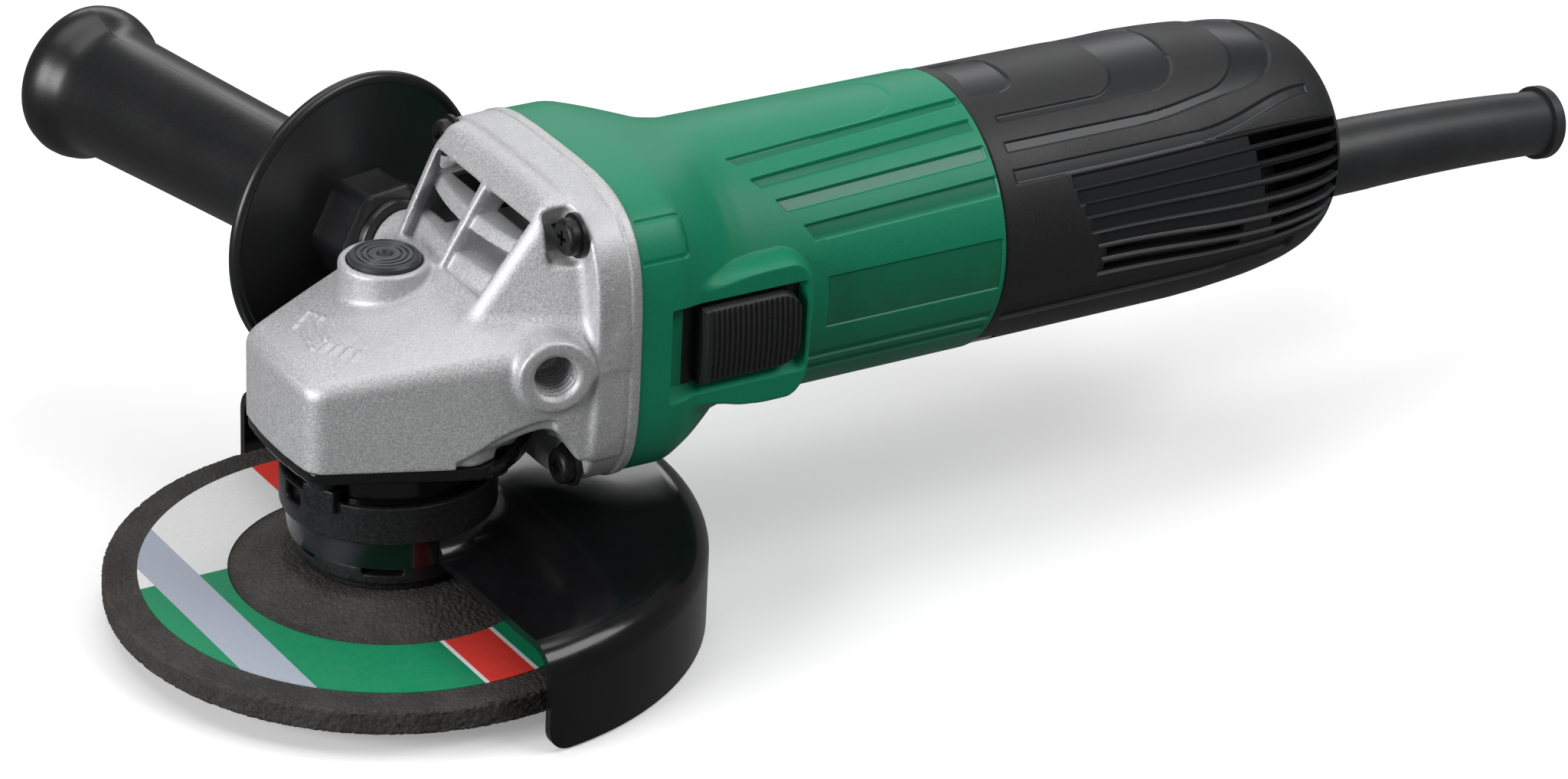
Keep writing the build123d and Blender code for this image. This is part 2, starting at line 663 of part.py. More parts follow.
def ear_frame(offset):
    """A plane square to the clamp screw, at an offset along it."""
    a = radians(EAR_ANGLE)
    along = (-sin(a), cos(a), 0)
    return Plane(
        origin=(EAR_MIDDLE * cos(a) + along[0] * offset, EAR_MIDDLE * sin(a) + along[1] * offset, EAR_Z),
        x_dir=(cos(a), sin(a), 0), z_dir=along,
    )


def guard_clamp():
    """The split band round the collar, with two ears for its screw, a slot and a tab at the front."""
    with BuildPart() as band:
        add(sleeve_z(CLAMP_LOW, CLAMP_HIGH, CLAMP_OUT, COLLAR_OUT + 0.02))
        with BuildSketch(ear_frame(-7)):
            Rectangle(15, 5.6)
        extrude(amount=14)
        add(sleeve_z(20, 35, COLLAR_OUT + 0.02, 0), mode=Mode.SUBTRACT)
        with BuildSketch(ear_frame(-1.5)):
            with Locations((-2, 0)):
                Rectangle(24, 12)
        extrude(amount=3, mode=Mode.SUBTRACT)
        with BuildSketch(ear_frame(-10)):
            with Locations((3, 0)):
                Circle(2.05)
        extrude(amount=20, mode=Mode.SUBTRACT)
        add(block((-26, -20), (-4.3, 1.9), (28.2, 32.4)), mode=Mode.SUBTRACT)
        add(block((-25.5, -22.5), (-4, 4), (31, 36.4)).rotate(Axis.Z, 27))
    return band.part


def guard_clamp_screw():
    with BuildPart() as screw:
        for low, length, radius in ((7.0, 3.2, 2.6), (-9.0, 16.0, 2.0)):
            with BuildSketch(ear_frame(low)):
                with Locations((3, 0)):
                    Circle(radius)
            extrude(amount=length)
        with BuildSketch(ear_frame(10.2)):
            with Locations((3, 0)):
                RegularPolygon(1.5, 6)
        extrude(amount=-1.8, mode=Mode.SUBTRACT)
    return screw.part


save(guard(), "guard")
save(guard_clamp(), "guard_clamp")
save(guard_clamp_screw(), "guard_clamp_screw")


# ---------------------------------------------------------------- side handle
HANDLE_END, DISC_R, DISC_AT, DISC_T = 118.8, 35.4, 13.9, 2.6


def turned_on_handle(points):
    """A solid turned about the far boss's thread from (distance out, radius) corners."""
    with BuildPart() as body:
        with BuildSketch(Plane.XZ):
            with BuildLine():
                Polyline(*[(r, d) for d, r in points], close=True)
            make_face()
        revolve(axis=Axis.Z)
    return boss_frame(1) * body.part


def side_handle():
    """A moulded grip: hexagonal nose, round guard disc, tapered grip and flared end."""
    disc_end = DISC_AT + DISC_T
    with BuildPart() as grip:
        with BuildSketch(Plane.XZ):
            with BuildLine():
                Polyline(
                    (0, 0.3), (9.2, 0.3), (10.0, 1.1), (10.0, DISC_AT - 1.5), (14, DISC_AT),
                    (DISC_R - 2, DISC_AT + 0.4),
                )
                ThreePointArc(
                    (DISC_R - 2, DISC_AT + 0.4), (DISC_R, DISC_AT + DISC_T / 2 + 0.3), (DISC_R - 2, disc_end)
                )
                Line((DISC_R - 2, disc_end), (17, disc_end + 0.6))
                Spline(
                    (17, disc_end + 0.6), (14.0, disc_end + 5), (14.6, 58), (15.8, 94), (18.9, 110.8),
                    tangents=((-1, 0.1), (0.1, 1)),
                )
                Spline((18.9, 110.8), (16.2, 117.0), (7, HANDLE_END), tangents=((-0.1, 1), (-1, 0)))
                Polyline((7, HANDLE_END), (0, HANDLE_END), (0, 0.3))
            make_face()
        revolve(axis=Axis.Z)
        with BuildSketch(Plane.XY.offset(2.2)):
            RegularPolygon(11.9, 6, major_radius=False)
        extrude(amount=DISC_AT - 1.8)
        with BuildSketch(Plane.XY.offset(0)):
            Circle(5.0)
        extrude(amount=30.2, mode=Mode.SUBTRACT)
    return boss_frame(1) * grip.part


def handle_bolt():
    """The M10 stud moulded into the grip; its free end screws into the gear case."""
    return turned_on_handle([(-11.5, 0), (-11.5, M10_R - 1), (-10.7, M10_R - 0.02), (0.3, M10_R - 0.02),
                             (0.3, 5.0), (30.2, 5.0), (30.2, 0)])


save(side_handle(), "side_handle")
save(handle_bolt(), "handle_bolt")


# ---------------------------------------------------------------- motor housing
def cylinder_patch(x, low_angle, high_angle, r_in, r_out):
    """A piece of a tube about the motor axis. Angles are from the top, growing towards -Y."""
    with BuildPart() as patch:
        with BuildSketch(Plane.XZ):
            with Locations(((x[0] + x[1]) / 2, AXIS_Z + (r_in + r_out) / 2)):
                Rectangle(x[1] - x[0], r_out - r_in)
        revolve(axis=MOTOR, revolution_arc=high_angle - low_angle)
    return patch.part.rotate(MOTOR, low_angle)


def cover_screw_places():
    """Unit directions of the two screws that hold the rear cover, as (x, y, z) with x the station."""
    return [(141.0, sin(radians(a)), cos(radians(a))) for a in (145, 215)]


def radial_rod(place, outer, inner, radius):
    """A rod that points out from the motor axis between two distances."""
    x, y, z = place
    with BuildPart() as rod:
        with BuildSketch(Plane(origin=(x, y * inner, AXIS_Z + z * inner), x_dir=(1, 0, 0), z_dir=(0, y, z))):
            Circle(radius)
        extrude(amount=outer - inner)
    return rod.part


SHOULDER = ((46.5, 84.0), (-36.6, -20.0), (49.6, 78.2))
PLATE_X, PLATE_ANGLES = (90.6, 136.2), (79.0, 100.6)
GROOVES = ((75.0, 22.0, 3.6), (78.5, 34.0, 3.6), (82.5, 46.5, 4.4), (87.5, 59.0, 5.4), (90.0, 118.5, 6.0))


def shoulder():
    """The raised pad round the switch knob."""
    with BuildPart() as pad:
        add(block(*SHOULDER))
        outer = pad.faces().sort_by(Axis.Y)[0]
        fillet(outer.edges(), 2.6)
    return pad.part


def mouth():
    """The square front opening, less the posts that take the gear case screws."""
    inner = (SECTION_W - 4.5, SECTION_H - 4.5, SECTION_POWER)
    with BuildPart() as opening:
        add(barrel([(JOIN_X - 1, *inner), (47, *inner)]))
        for place in corner_places():
            add(sleeve_x(JOIN_X - 2, 60, 4.6, 0, *place), mode=Mode.SUBTRACT)
    return opening.part


def motor_housing():
    square = (SECTION_W, SECTION_H, SECTION_POWER)
    round_end = (BARREL_R, BARREL_R, 2.0)
    bore = BARREL_R - WALL
    with BuildPart() as housing:
        add(barrel([(JOIN_X, *square), (51, *square)]))
        add(barrel([(51, *square), (57.5, 36.2, 34.2, 3.1), (66, 32.9, 32.9, 2.2), (72, *round_end)]))
        add(barrel([(72, *round_end), (SPLIT_X, *round_end)]))
        add(sleeve_x(SPLIT_X - 0.1, SPLIT_X + 7.4, COVER_R - WALL - 0.1))
        add(shoulder())
        # bore, rear bulkhead with its bearing seat, and the square mouth
        add(sleeve_x(30, 130, bore), mode=Mode.SUBTRACT)
        add(sleeve_x(133, 150, bore - WALL), mode=Mode.SUBTRACT)
        add(sleeve_x(127, 137.5, REAR_BEARING[0] + 4))
        add(sleeve_x(120, 140, REAR_BEARING[0] + 1.6), mode=Mode.SUBTRACT)
        add(mouth(), mode=Mode.SUBTRACT)
        for place in corner_places():
            add(sleeve_x(30, 54.4, 2.0, 0, *place), mode=Mode.SUBTRACT)
        # windows in the bulkhead round the bearing, and one notch for the slide bar
        for k in range(6):
            window = cylinder_patch((128, 135), 100 + 60 * k, 138 + 60 * k, 17, 26.0)
            add(window, mode=Mode.SUBTRACT)
        add(block((125, 145), (-30.2, -26.4), (60.6, 69.8)), mode=Mode.SUBTRACT)
        # switch recess, grooves on both sides and the name panel
        slot_x = (KNOB_X - SLIDE_TRAVEL - 0.8, KNOB_X + KNOB_LEN + 0.5)
        add(block(slot_x, (-45, -33.6), (KNOB_LOW - 0.5, KNOB_HIGH + 0.5)), mode=Mode.SUBTRACT)
        add(block((50.0, 80.2), (-40, -25), (59.0, 69.8)), mode=Mode.SUBTRACT)
        depth = (BARREL_R - 0.8, BARREL_R + 2)
        for x, angle, wide in GROOVES:
            for middle in (angle, 360 - angle):
                groove = cylinder_patch((x, 136.2), middle - wide / 2, middle + wide / 2, *depth)
                add(groove, mode=Mode.SUBTRACT)
        add(cylinder_patch(PLATE_X, *PLATE_ANGLES, BARREL_R - 0.9, BARREL_R + 2), mode=Mode.SUBTRACT)
        for place in cover_screw_places():
            add(radial_rod(place, 35, 22, 2.0), mode=Mode.SUBTRACT)
    return housing.part


def name_plate():
    x = (PLATE_X[0] + 0.15, PLATE_X[1] - 0.15)
    return cylinder_patch(x, PLATE_ANGLES[0] + 0.3, PLATE_ANGLES[1] - 0.3, BARREL_R - 0.9, BARREL_R - 0.35)


save(motor_housing(), "motor_housing")
save(name_plate(), "name_plate")


# ---------------------------------------------------------------- rear cover
VENT_ROWS = [61.0 + 8.05 * k for k in range(7)]  # angles of the vent slots down each side


def rear_cover():
    """A one-piece shell with a domed end, smooth inlays, long ribs and rows of vents."""
    outer = [
        (SPLIT_X + 0.15, 0), (SPLIT_X + 0.15, COVER_R - 0.5), (SPLIT_X + 0.7, COVER_R), (195, COVER_R),
        (210, 31.3), (219, 30.5), (226.5, 29.4), (232.2, 27.5), (237.1, 24.0), (240.1, 18.5),
        (TAIL_X, 12.0), (TAIL_X, 0),
    ]
    inner = [(SPLIT_X - 1, 0), (SPLIT_X - 1, COVER_R - WALL), (193, COVER_R - WALL), (220, 27.2), (231, 24.4),
             (236.5, 18.0), (238.2, 11.0), (238.2, 0)]
    with BuildPart() as cover:
        with BuildSketch(Plane.XZ):
            with BuildLine():
                Polyline(*[(x, AXIS_Z + r) for x, r in outer[:4]])
                Spline(*[(x, AXIS_Z + r) for x, r in outer[3:11]], tangents=((1, 0), (0.05, -1)))
                Polyline(*[(x, AXIS_Z + r) for x, r in outer[10:]], (SPLIT_X + 0.15, AXIS_Z))
            make_face()
        revolve(axis=MOTOR)
        add(turn_x(inner), mode=Mode.SUBTRACT)
        # boss round the cord's way out
        add(sleeve_x(234, 244.5, 12.4, 0, 0, ARMOR_Z))
        add(sleeve_x(230, 239.5, 11.6, 0, 0, ARMOR_Z), mode=Mode.SUBTRACT)
        add(sleeve_x(230, 250, ARMOR_R + 0.15, 0, 0, ARMOR_Z), mode=Mode.SUBTRACT)
        # shallow smooth bands on top, long grooves, and the vents in rows on both sides
        add(cylinder_patch((141.5, 152), -16.5, 16.5, COVER_R - 0.45, COVER_R + 2), mode=Mode.SUBTRACT)
        bands = ((143.0, 176.0, 30.5, 3.8), (142.0, 207.0, 42.0, 4.6), (142.2, 200.0, 56.0, 6.0))
        for x, end, angle, wide in bands:
            for middle in (angle, 360 - angle):
                low, high = middle - wide / 2, middle + wide / 2
                add(cylinder_patch((x, end), low, high, COVER_R - 0.6, COVER_R + 2), mode=Mode.SUBTRACT)
        for k, angle in enumerate(VENT_ROWS):
            start = 157.0 + 1.4 * k
            for middle in (angle, 360 - angle):
                rib_gap = cylinder_patch((start, 209), middle - 2.6, middle + 2.6, 31.1, COVER_R + 2)
                add(rib_gap, mode=Mode.SUBTRACT)
                slot = cylinder_patch((208 + 1.1 * k, 236.6), middle - 2.2, middle + 2.2, 21, COVER_R + 2)
                add(slot, mode=Mode.SUBTRACT)
            if k > 4:
                for middle in (angle, 360 - angle):
                    add(cylinder_patch((164, 204), middle - 2.2, middle + 2.2, 25, 40), mode=Mode.SUBTRACT)
        for x, y, z in cover_screw_places():
            add(radial_rod((x, y, z), 40, 20, 2.0), mode=Mode.SUBTRACT)
            add(radial_rod((x, y, z), 40, 31.0, 3.7), mode=Mode.SUBTRACT)
        # two posts for the cord clip
        for y in SIDES:
            add(block((226, 232), (y * 13.5 - 3.5, y * 13.5 + 3.5), (38.5, 49.6)))
            add(sleeve_z(40.5, 60, 1.6, 0, 229, y * 13.5), mode=Mode.SUBTRACT)
    return cover.part


ARMOR_Z, ARMOR_R, ARMOR_END_R = 55.2, 9.0, 7.8


def cord_armor():
    """A hollow tapering rubber sleeve with a collar inside the cover and a bead at its end."""
    far = Plane(origin=(319.5, 0, 52.6), x_dir=(0, 1, 0), z_dir=(0.9966, 0, -0.082))
    with BuildPart() as armor:
        add(sleeve_x(232.5, 262.2, ARMOR_R, 0, 0, ARMOR_Z))
        with BuildSketch(Plane.YZ.offset(262)):
            with Locations((0, ARMOR_Z)):
                Circle(ARMOR_R - 0.05)
        with BuildSketch(Plane(origin=(291, 0, 54.55), x_dir=(0, 1, 0), z_dir=(0.9991, 0, -0.042))):
            Circle((ARMOR_R + ARMOR_END_R) / 2)
        with BuildSketch(far):
            Circle(ARMOR_END_R)
        loft()
        with BuildSketch(far.offset(-3.0)):
            Circle(ARMOR_END_R + 1.3)
        extrude(amount=3.4)
        bead = armor.faces().sort_by(Axis.X)[-1]
        fillet(bead.edges(), 1.2)
        add(sleeve_x(232.5, 236.4, 11.2, 0, 0, ARMOR_Z))
        with BuildSketch(Plane.YZ.offset(230)):
            with Locations((0, ARMOR_Z)):
                Circle(ARMOR_BORE)
        extrude(amount=32, mode=Mode.SUBTRACT)
        with BuildSketch(Plane.YZ.offset(262)):
            with Locations((0, ARMOR_Z)):
                Circle(ARMOR_BORE)
        with BuildSketch(far.offset(1.5)):
            Circle(ARMOR_BORE)
        loft(mode=Mode.SUBTRACT)
    return armor.part


def cord_clip():
    """A bridge over the two posts that would hold the cord down inside the cover."""
    with BuildPart() as clip:
        add(block((226.4, 231.6), (-17, 17), (49.6, 51.8)))
        add(sleeve_x(226.4, 231.6, 7.2, 0, 0, ARMOR_Z))
        add(sleeve_x(220, 240, 4.6, 0, 0, ARMOR_Z), mode=Mode.SUBTRACT)
        add(block((220, 240), (-9, 9), (40, 49.6)), mode=Mode.SUBTRACT)
        for y in SIDES:
            add(sleeve_z(45, 60, 1.8, 0, 229, y * 13.5), mode=Mode.SUBTRACT)
    return clip.part


def pan_screw_down(x, y, head_top, length, head_r=3.1, shank_r=1.55):
    with BuildPart() as screw:
        add(sleeve_z(head_top - 2.0, head_top, head_r, 0, x, y))
        add(sleeve_z(head_top - 2.0 - length, head_top - 2.0, shank_r, 0, x, y))
        add(block((x - 2, x + 2), (y - 0.4, y + 0.4), (head_top - 0.9, head_top + 1)), mode=Mode.SUBTRACT)
    return screw.part


def cord_clip_screws():
    with BuildPart() as screws:
        for y in SIDES:
            add(pan_screw_down(229, y * 13.5, 53.8, 8.6))
    return screws.part


def rear_cover_screws():
    with BuildPart() as screws:
        for place in cover_screw_places():
            add(radial_rod(place, 33.1, 31.0, 3.4))
            add(radial_rod(place, 31.0, 24.8, 1.95))
            add(radial_rod(place, 35, 32.2, 1.2), mode=Mode.SUBTRACT)
    return screws.part


save(rear_cover(), "rear_cover")
save(cord_armor(), "cord_armor")
save(cord_clip(), "cord_clip")
save(cord_clip_screws(), "cord_clip_screws")
save(rear_cover_screws(), "rear_cover_screws")


# ---------------------------------------------------------------- motor
def armature_shaft():
    """One turned shaft from the pinion nut to the rear bearing."""
    return turn_x([
        (9.6, 0), (9.6, 2.4), (24.0, 2.4), (24.0, 6.0), (40.2, 6.0), (40.2, 5.0), (128.8, 5.0),
        (128.8, 4.0), (136.6, 4.0), (136.6, 0),
    ])


def pinion_nut():
    inner_x = CONE_IN * cos(PINION_CONE) + 0.45
    with BuildPart() as nut:
        with BuildSketch(Plane.YZ.offset(inner_x - 3.6)):
            with Locations((0, AXIS_Z)):
                RegularPolygon(3.6, 6, major_radius=False)
                Circle(2.4, mode=Mode.SUBTRACT)
        extrude(amount=3.0)
    return nut.part


def armature_core():
    """The lamination stack, with a ring of winding slots."""
    slots = 14
    with BuildPart() as core:
        with BuildSketch(Plane.YZ.offset(CORE_X)):
            with Locations((0, AXIS_Z)):
                Circle(CORE_R)
                Circle(5.0, mode=Mode.SUBTRACT)
                with PolarLocations(11.6, slots):
                    SlotOverall(6.0, 3.4, mode=Mode.SUBTRACT)
                with PolarLocations(15.0, slots):
                    Rectangle(2.4, 1.2, mode=Mode.SUBTRACT)
        extrude(amount=CORE_END - CORE_X)
    return core.part


def armature_windings():
    """The copper heads at both ends of the stack, and the bars in its slots."""
    front = [(54.5, 5.1), (54.5, 9), (56, 12), (59, 13.6), (CORE_X, 13.6), (CORE_X, 5.1)]
    rear = [(CORE_END, 5.1), (CORE_END, 13.6), (104, 13.2), (108, 10.8), (109.8, 9.4), (109.8, 5.1)]
    with BuildPart() as copper:
        add(turn_x(front))
        add(turn_x(rear))
        with BuildSketch(Plane.YZ.offset(CORE_X)):
            with Locations((0, AXIS_Z)):
                with PolarLocations(11.6, 14):
                    SlotOverall(5.6, 3.0)
        extrude(amount=CORE_END - CORE_X)
    return copper.part


def commutator():
    with BuildPart() as drum:
        add(sleeve_x(COMM_X, COMM_END, COMM_R, 5.0))
        add(sleeve_x(COMM_X, COMM_X + 2.2, COMM_R + 1.3, COMM_R - 1))
        with BuildSketch(Plane.YZ.offset(COMM_X)):
            with Locations((0, AXIS_Z)):
                with PolarLocations(COMM_R + 0.7, 28):
                    Rectangle(1.8, 0.35)
        extrude(amount=COMM_END - COMM_X, mode=Mode.SUBTRACT)
    return drum.part


def fan():
    """A radial fan: a disc, a hub and curved blades on its front."""
    with BuildPart() as wheel:
        add(sleeve_x(50.6, FAN_END, FAN_R, 5.0))
        add(sleeve_x(FAN_X, FAN_END, 8.4, 5.0))
        with BuildSketch(Plane.YZ.offset(FAN_X)):
            with Locations((0, AXIS_Z)):
                with PolarLocations(17.0, 13):
                    Rectangle(17.6, 1.3, rotation=28)
        extrude(amount=FAN_END - FAN_X - 1)
        add(sleeve_x(30, 60, 60, FAN_R), mode=Mode.SUBTRACT)
    return wheel.part


def fan_baffle():
    """The fixed ring that leads air into the fan, notched where the switch's bar slides."""
    with BuildPart() as baffle:
        add(turn_x([(54.0, 16.5), (54.0, 29.6), (60.4, 29.6), (60.4, 28.4), (55.6, 28.4), (55.6, 16.5)]))
        add(block((50, 62), (-31, -26.6), (60.6, 69.8)), mode=Mode.SUBTRACT)
    return baffle.part


def stator_core():
    """Laminations with two poles round the armature and windows for the field coils."""
    bore = CORE_R + AIR_GAP
    with BuildPart() as core:
        with BuildSketch(Plane.YZ.offset(CORE_X)):
            with Locations((0, AXIS_Z)):
                Circle(STATOR_R)
                Circle(bore, mode=Mode.SUBTRACT)
                with PolarLocations(20.2, 4, start_angle=38, angular_range=360):
                    Rectangle(6.4, 9.0, mode=Mode.SUBTRACT)
        extrude(amount=CORE_END - CORE_X)
        split(bisect_by=Plane.XZ.offset(26.0), keep=Keep.BOTTOM)
    return core.part


def field_coils():
    """Two saddle coils whose ends stand out of the laminations."""
    with BuildPart() as coils:
        for x in (CORE_X - 5.2, CORE_END + 0.1):
            for low, high in ((30, 150), (210, 330)):
                add(cylinder_patch((x, x + 5.1), low - 90, high - 90, 17.4, 25.0))
    return coils.part


BRUSH_X = (113.2, 120.8)


def brush_parts():
    """Two carbon brushes above and below the commutator, in holders with coil springs behind them."""
    middle = (BRUSH_X[0] + BRUSH_X[1]) / 2
    with BuildPart() as brushes:
        for z in SIDES:
            near, far = AXIS_Z + z * (COMM_R + 0.06), AXIS_Z + z * 21.0
            add(block(BRUSH_X, (-2.6, 2.6), (min(near, far), max(near, far))))
        add(sleeve_x(105, 125, COMM_R + 0.06), mode=Mode.SUBTRACT)
    with BuildPart() as holders:
        for z in SIDES:
            near, far = AXIS_Z + z * 13.2, AXIS_Z + z * 28.6
            add(block((BRUSH_X[0] - 1.4, BRUSH_X[1] + 1.4), (-4, 4), (min(near, far), max(near, far))))
            add(block((BRUSH_X[0] - 1.4, BRUSH_X[1] + 1.4), (-8, 8), (AXIS_Z + z * 21 - 1, AXIS_Z + z * 21 + 1)))
        add(block((BRUSH_X[0] - 0.05, BRUSH_X[1] + 0.05), (-2.65, 2.65), (AXIS_Z - 27.4, AXIS_Z + 27.4)),
            mode=Mode.SUBTRACT)
    with BuildPart() as springs:
        for z in SIDES:
            ends = sorted((AXIS_Z + z * 21.1, AXIS_Z + z * 27.3))
            add(sleeve_z(*ends, 2.3, 1.7, middle, 0))
    return brushes.part, holders.part, springs.part


save(armature_shaft(), "armature_shaft")
save(pinion_nut(), "pinion_nut")
save(armature_core(), "armature_core")
save(armature_windings(), "armature_windings")
save(commutator(), "commutator")
save(fan(), "fan")
save(fan_baffle(), "fan_baffle")
save(stator_core(), "stator_core")
save(field_coils(), "field_coils")
for piece, name in zip(brush_parts(), ("carbon_brushes", "brush_holders", "brush_springs")):
    save(piece, name)
save(sleeve_x(FRONT_BEARING[3] + 0.05, FRONT_BEARING[3] + 2, 19.4, 8.0), "front_bearing_cover")
save(sleeve_x(REAR_BEARING[2], REAR_BEARING[3], REAR_BEARING[0] + 1.6, REAR_BEARING[0]), "rear_bearing_sleeve")


# ---------------------------------------------------------------- gear case screws
def gear_case_screws():
    """Four pan heads with washers in the case's corner pockets, threaded into the motor housing."""
    head_r, head, washer = 4.1, 3.0, 0.8
    with BuildPart() as screws:
        for place in corner_places():
            add(sleeve_x(FLANGE_X - washer - head, FLANGE_X - washer, head_r, 0, *place))
        heads = screws.edges().filter_by(GeomType.CIRCLE).group_by(Axis.X)[0]
        fillet(heads, 1.3)
        for y, z in corner_places():
            add(sleeve_x(FLANGE_X - washer, FLANGE_X, 4.9, 0, y, z))
            add(sleeve_x(FLANGE_X, FLANGE_X + 20, 1.98, 0, y, z))
            with BuildSketch(Plane.YZ.offset(FLANGE_X - washer - head)):
                with Locations((y, z)):
                    Rectangle(3.6, 0.9)
                    Rectangle(0.9, 3.6)
            extrude(amount=1.6, mode=Mode.SUBTRACT)
    return screws.part


save(gear_case_screws(), "gear_case_screws")


# ---------------------------------------------------------------- switch
def slide_knob():
    """The ribbed thumb piece, with a rounded rear end and a foot through the housing."""
    x0, x1, outer_y = KNOB_X, KNOB_X + KNOB_LEN, -38.0
    with BuildPart() as knob:
        with BuildSketch(Plane.XZ.offset(34.0)):
            with Locations(((x0 + x1) / 2, (KNOB_LOW + KNOB_HIGH) / 2)):
                Rectangle(KNOB_LEN, KNOB_HIGH - KNOB_LOW)
            fillet(vertices().group_by(Axis.X)[-1], 4.5)
        extrude(amount=4.0)
        outer = knob.faces().sort_by(Axis.Y)[0]
        fillet(outer.edges(), 0.8)
        for k in range(12):
            x = x0 + 2.4 + 1.8 * k
            add(block((x - 0.35, x + 0.35), (outer_y - 1, outer_y + 0.7), (KNOB_LOW + 1.2, KNOB_HIGH - 1.2)),
                mode=Mode.SUBTRACT)
        add(block((66.4, 79.4), (-34.2, -28.2), (61.4, 69.0)))
        add(sleeve_x(50, 90, BARREL_R - WALL - 0.35), mode=Mode.SUBTRACT)
    return knob.part


def slide_bar():
    """The long flat link from the knob to the switch in the tail."""
    with BuildPart() as bar:
        with BuildSketch(Plane.XY.offset(62.2)):
            with BuildLine():
                Polyline(
                    (60.4, -29.0), (147, -29.0), (152, -19.5), (158, -19.5), (158, -17.5), (150.8, -17.5),
                    (145.8, -27.4), (60.4, -27.4), close=True,
                )
            make_face()
        extrude(amount=5.6)
        add(block((67.5, 78.5), (-29.4, -27.4), (62.2, 67.8)))
    return bar.part


def switch_body():
    with BuildPart() as switch:
        add(block((163, 196), (-15.5, 9), (54, 77)))
        fillet(switch.edges().filter_by(Axis.X), 1.5)
    return switch.part


def terminal_block():
    with BuildPart() as terminals:
        add(block((200, 214), (-11, 11), (56, 64)))
        for y in (-6, 6):
            add(sleeve_x(199, 215, 1.6, 0, y, 60), mode=Mode.SUBTRACT)
            add(sleeve_z(60, 66, 2.2, 0, 207, y), mode=Mode.SUBTRACT)
    return terminals.part


save(slide_knob(), "slide_knob")
save(slide_bar(), "slide_bar")
save(switch_body(), "switch_body")
save(terminal_block(), "terminal_block")
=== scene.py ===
"""Looks of the angle grinder: detailed pieces, materials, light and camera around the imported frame."""

import json
import math

import bpy
import numpy as np
from mathutils import Matrix, Vector, noise


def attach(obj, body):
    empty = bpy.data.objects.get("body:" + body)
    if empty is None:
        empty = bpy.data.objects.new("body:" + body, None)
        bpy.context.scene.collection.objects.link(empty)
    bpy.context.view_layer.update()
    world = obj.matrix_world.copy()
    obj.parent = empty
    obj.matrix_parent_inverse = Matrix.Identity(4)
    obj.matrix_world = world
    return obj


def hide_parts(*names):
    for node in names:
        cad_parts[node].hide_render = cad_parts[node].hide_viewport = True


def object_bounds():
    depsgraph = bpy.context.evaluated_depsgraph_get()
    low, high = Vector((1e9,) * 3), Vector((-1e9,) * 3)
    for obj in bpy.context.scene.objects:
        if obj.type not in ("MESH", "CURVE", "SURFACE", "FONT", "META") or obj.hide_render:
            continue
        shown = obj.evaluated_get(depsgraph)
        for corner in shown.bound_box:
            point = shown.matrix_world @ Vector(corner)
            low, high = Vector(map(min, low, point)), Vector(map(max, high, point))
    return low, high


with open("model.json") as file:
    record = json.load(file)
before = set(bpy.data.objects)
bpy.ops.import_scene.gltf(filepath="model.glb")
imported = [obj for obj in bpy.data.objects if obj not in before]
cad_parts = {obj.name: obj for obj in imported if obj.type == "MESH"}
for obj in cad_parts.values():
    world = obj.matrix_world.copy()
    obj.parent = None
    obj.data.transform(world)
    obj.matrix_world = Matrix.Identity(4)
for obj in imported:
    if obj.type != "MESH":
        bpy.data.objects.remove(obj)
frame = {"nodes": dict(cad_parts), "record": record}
CAD_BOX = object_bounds()

MM = 0.001
AXIS_Z = 65.2  # height of the motor axis over the wheel's face, in mm
NODES = frame["nodes"]


# ---------------------------------------------------------------- materials
def set_inputs(node, **values):
    for key, value in values.items():
        node.inputs[key].default_value = value


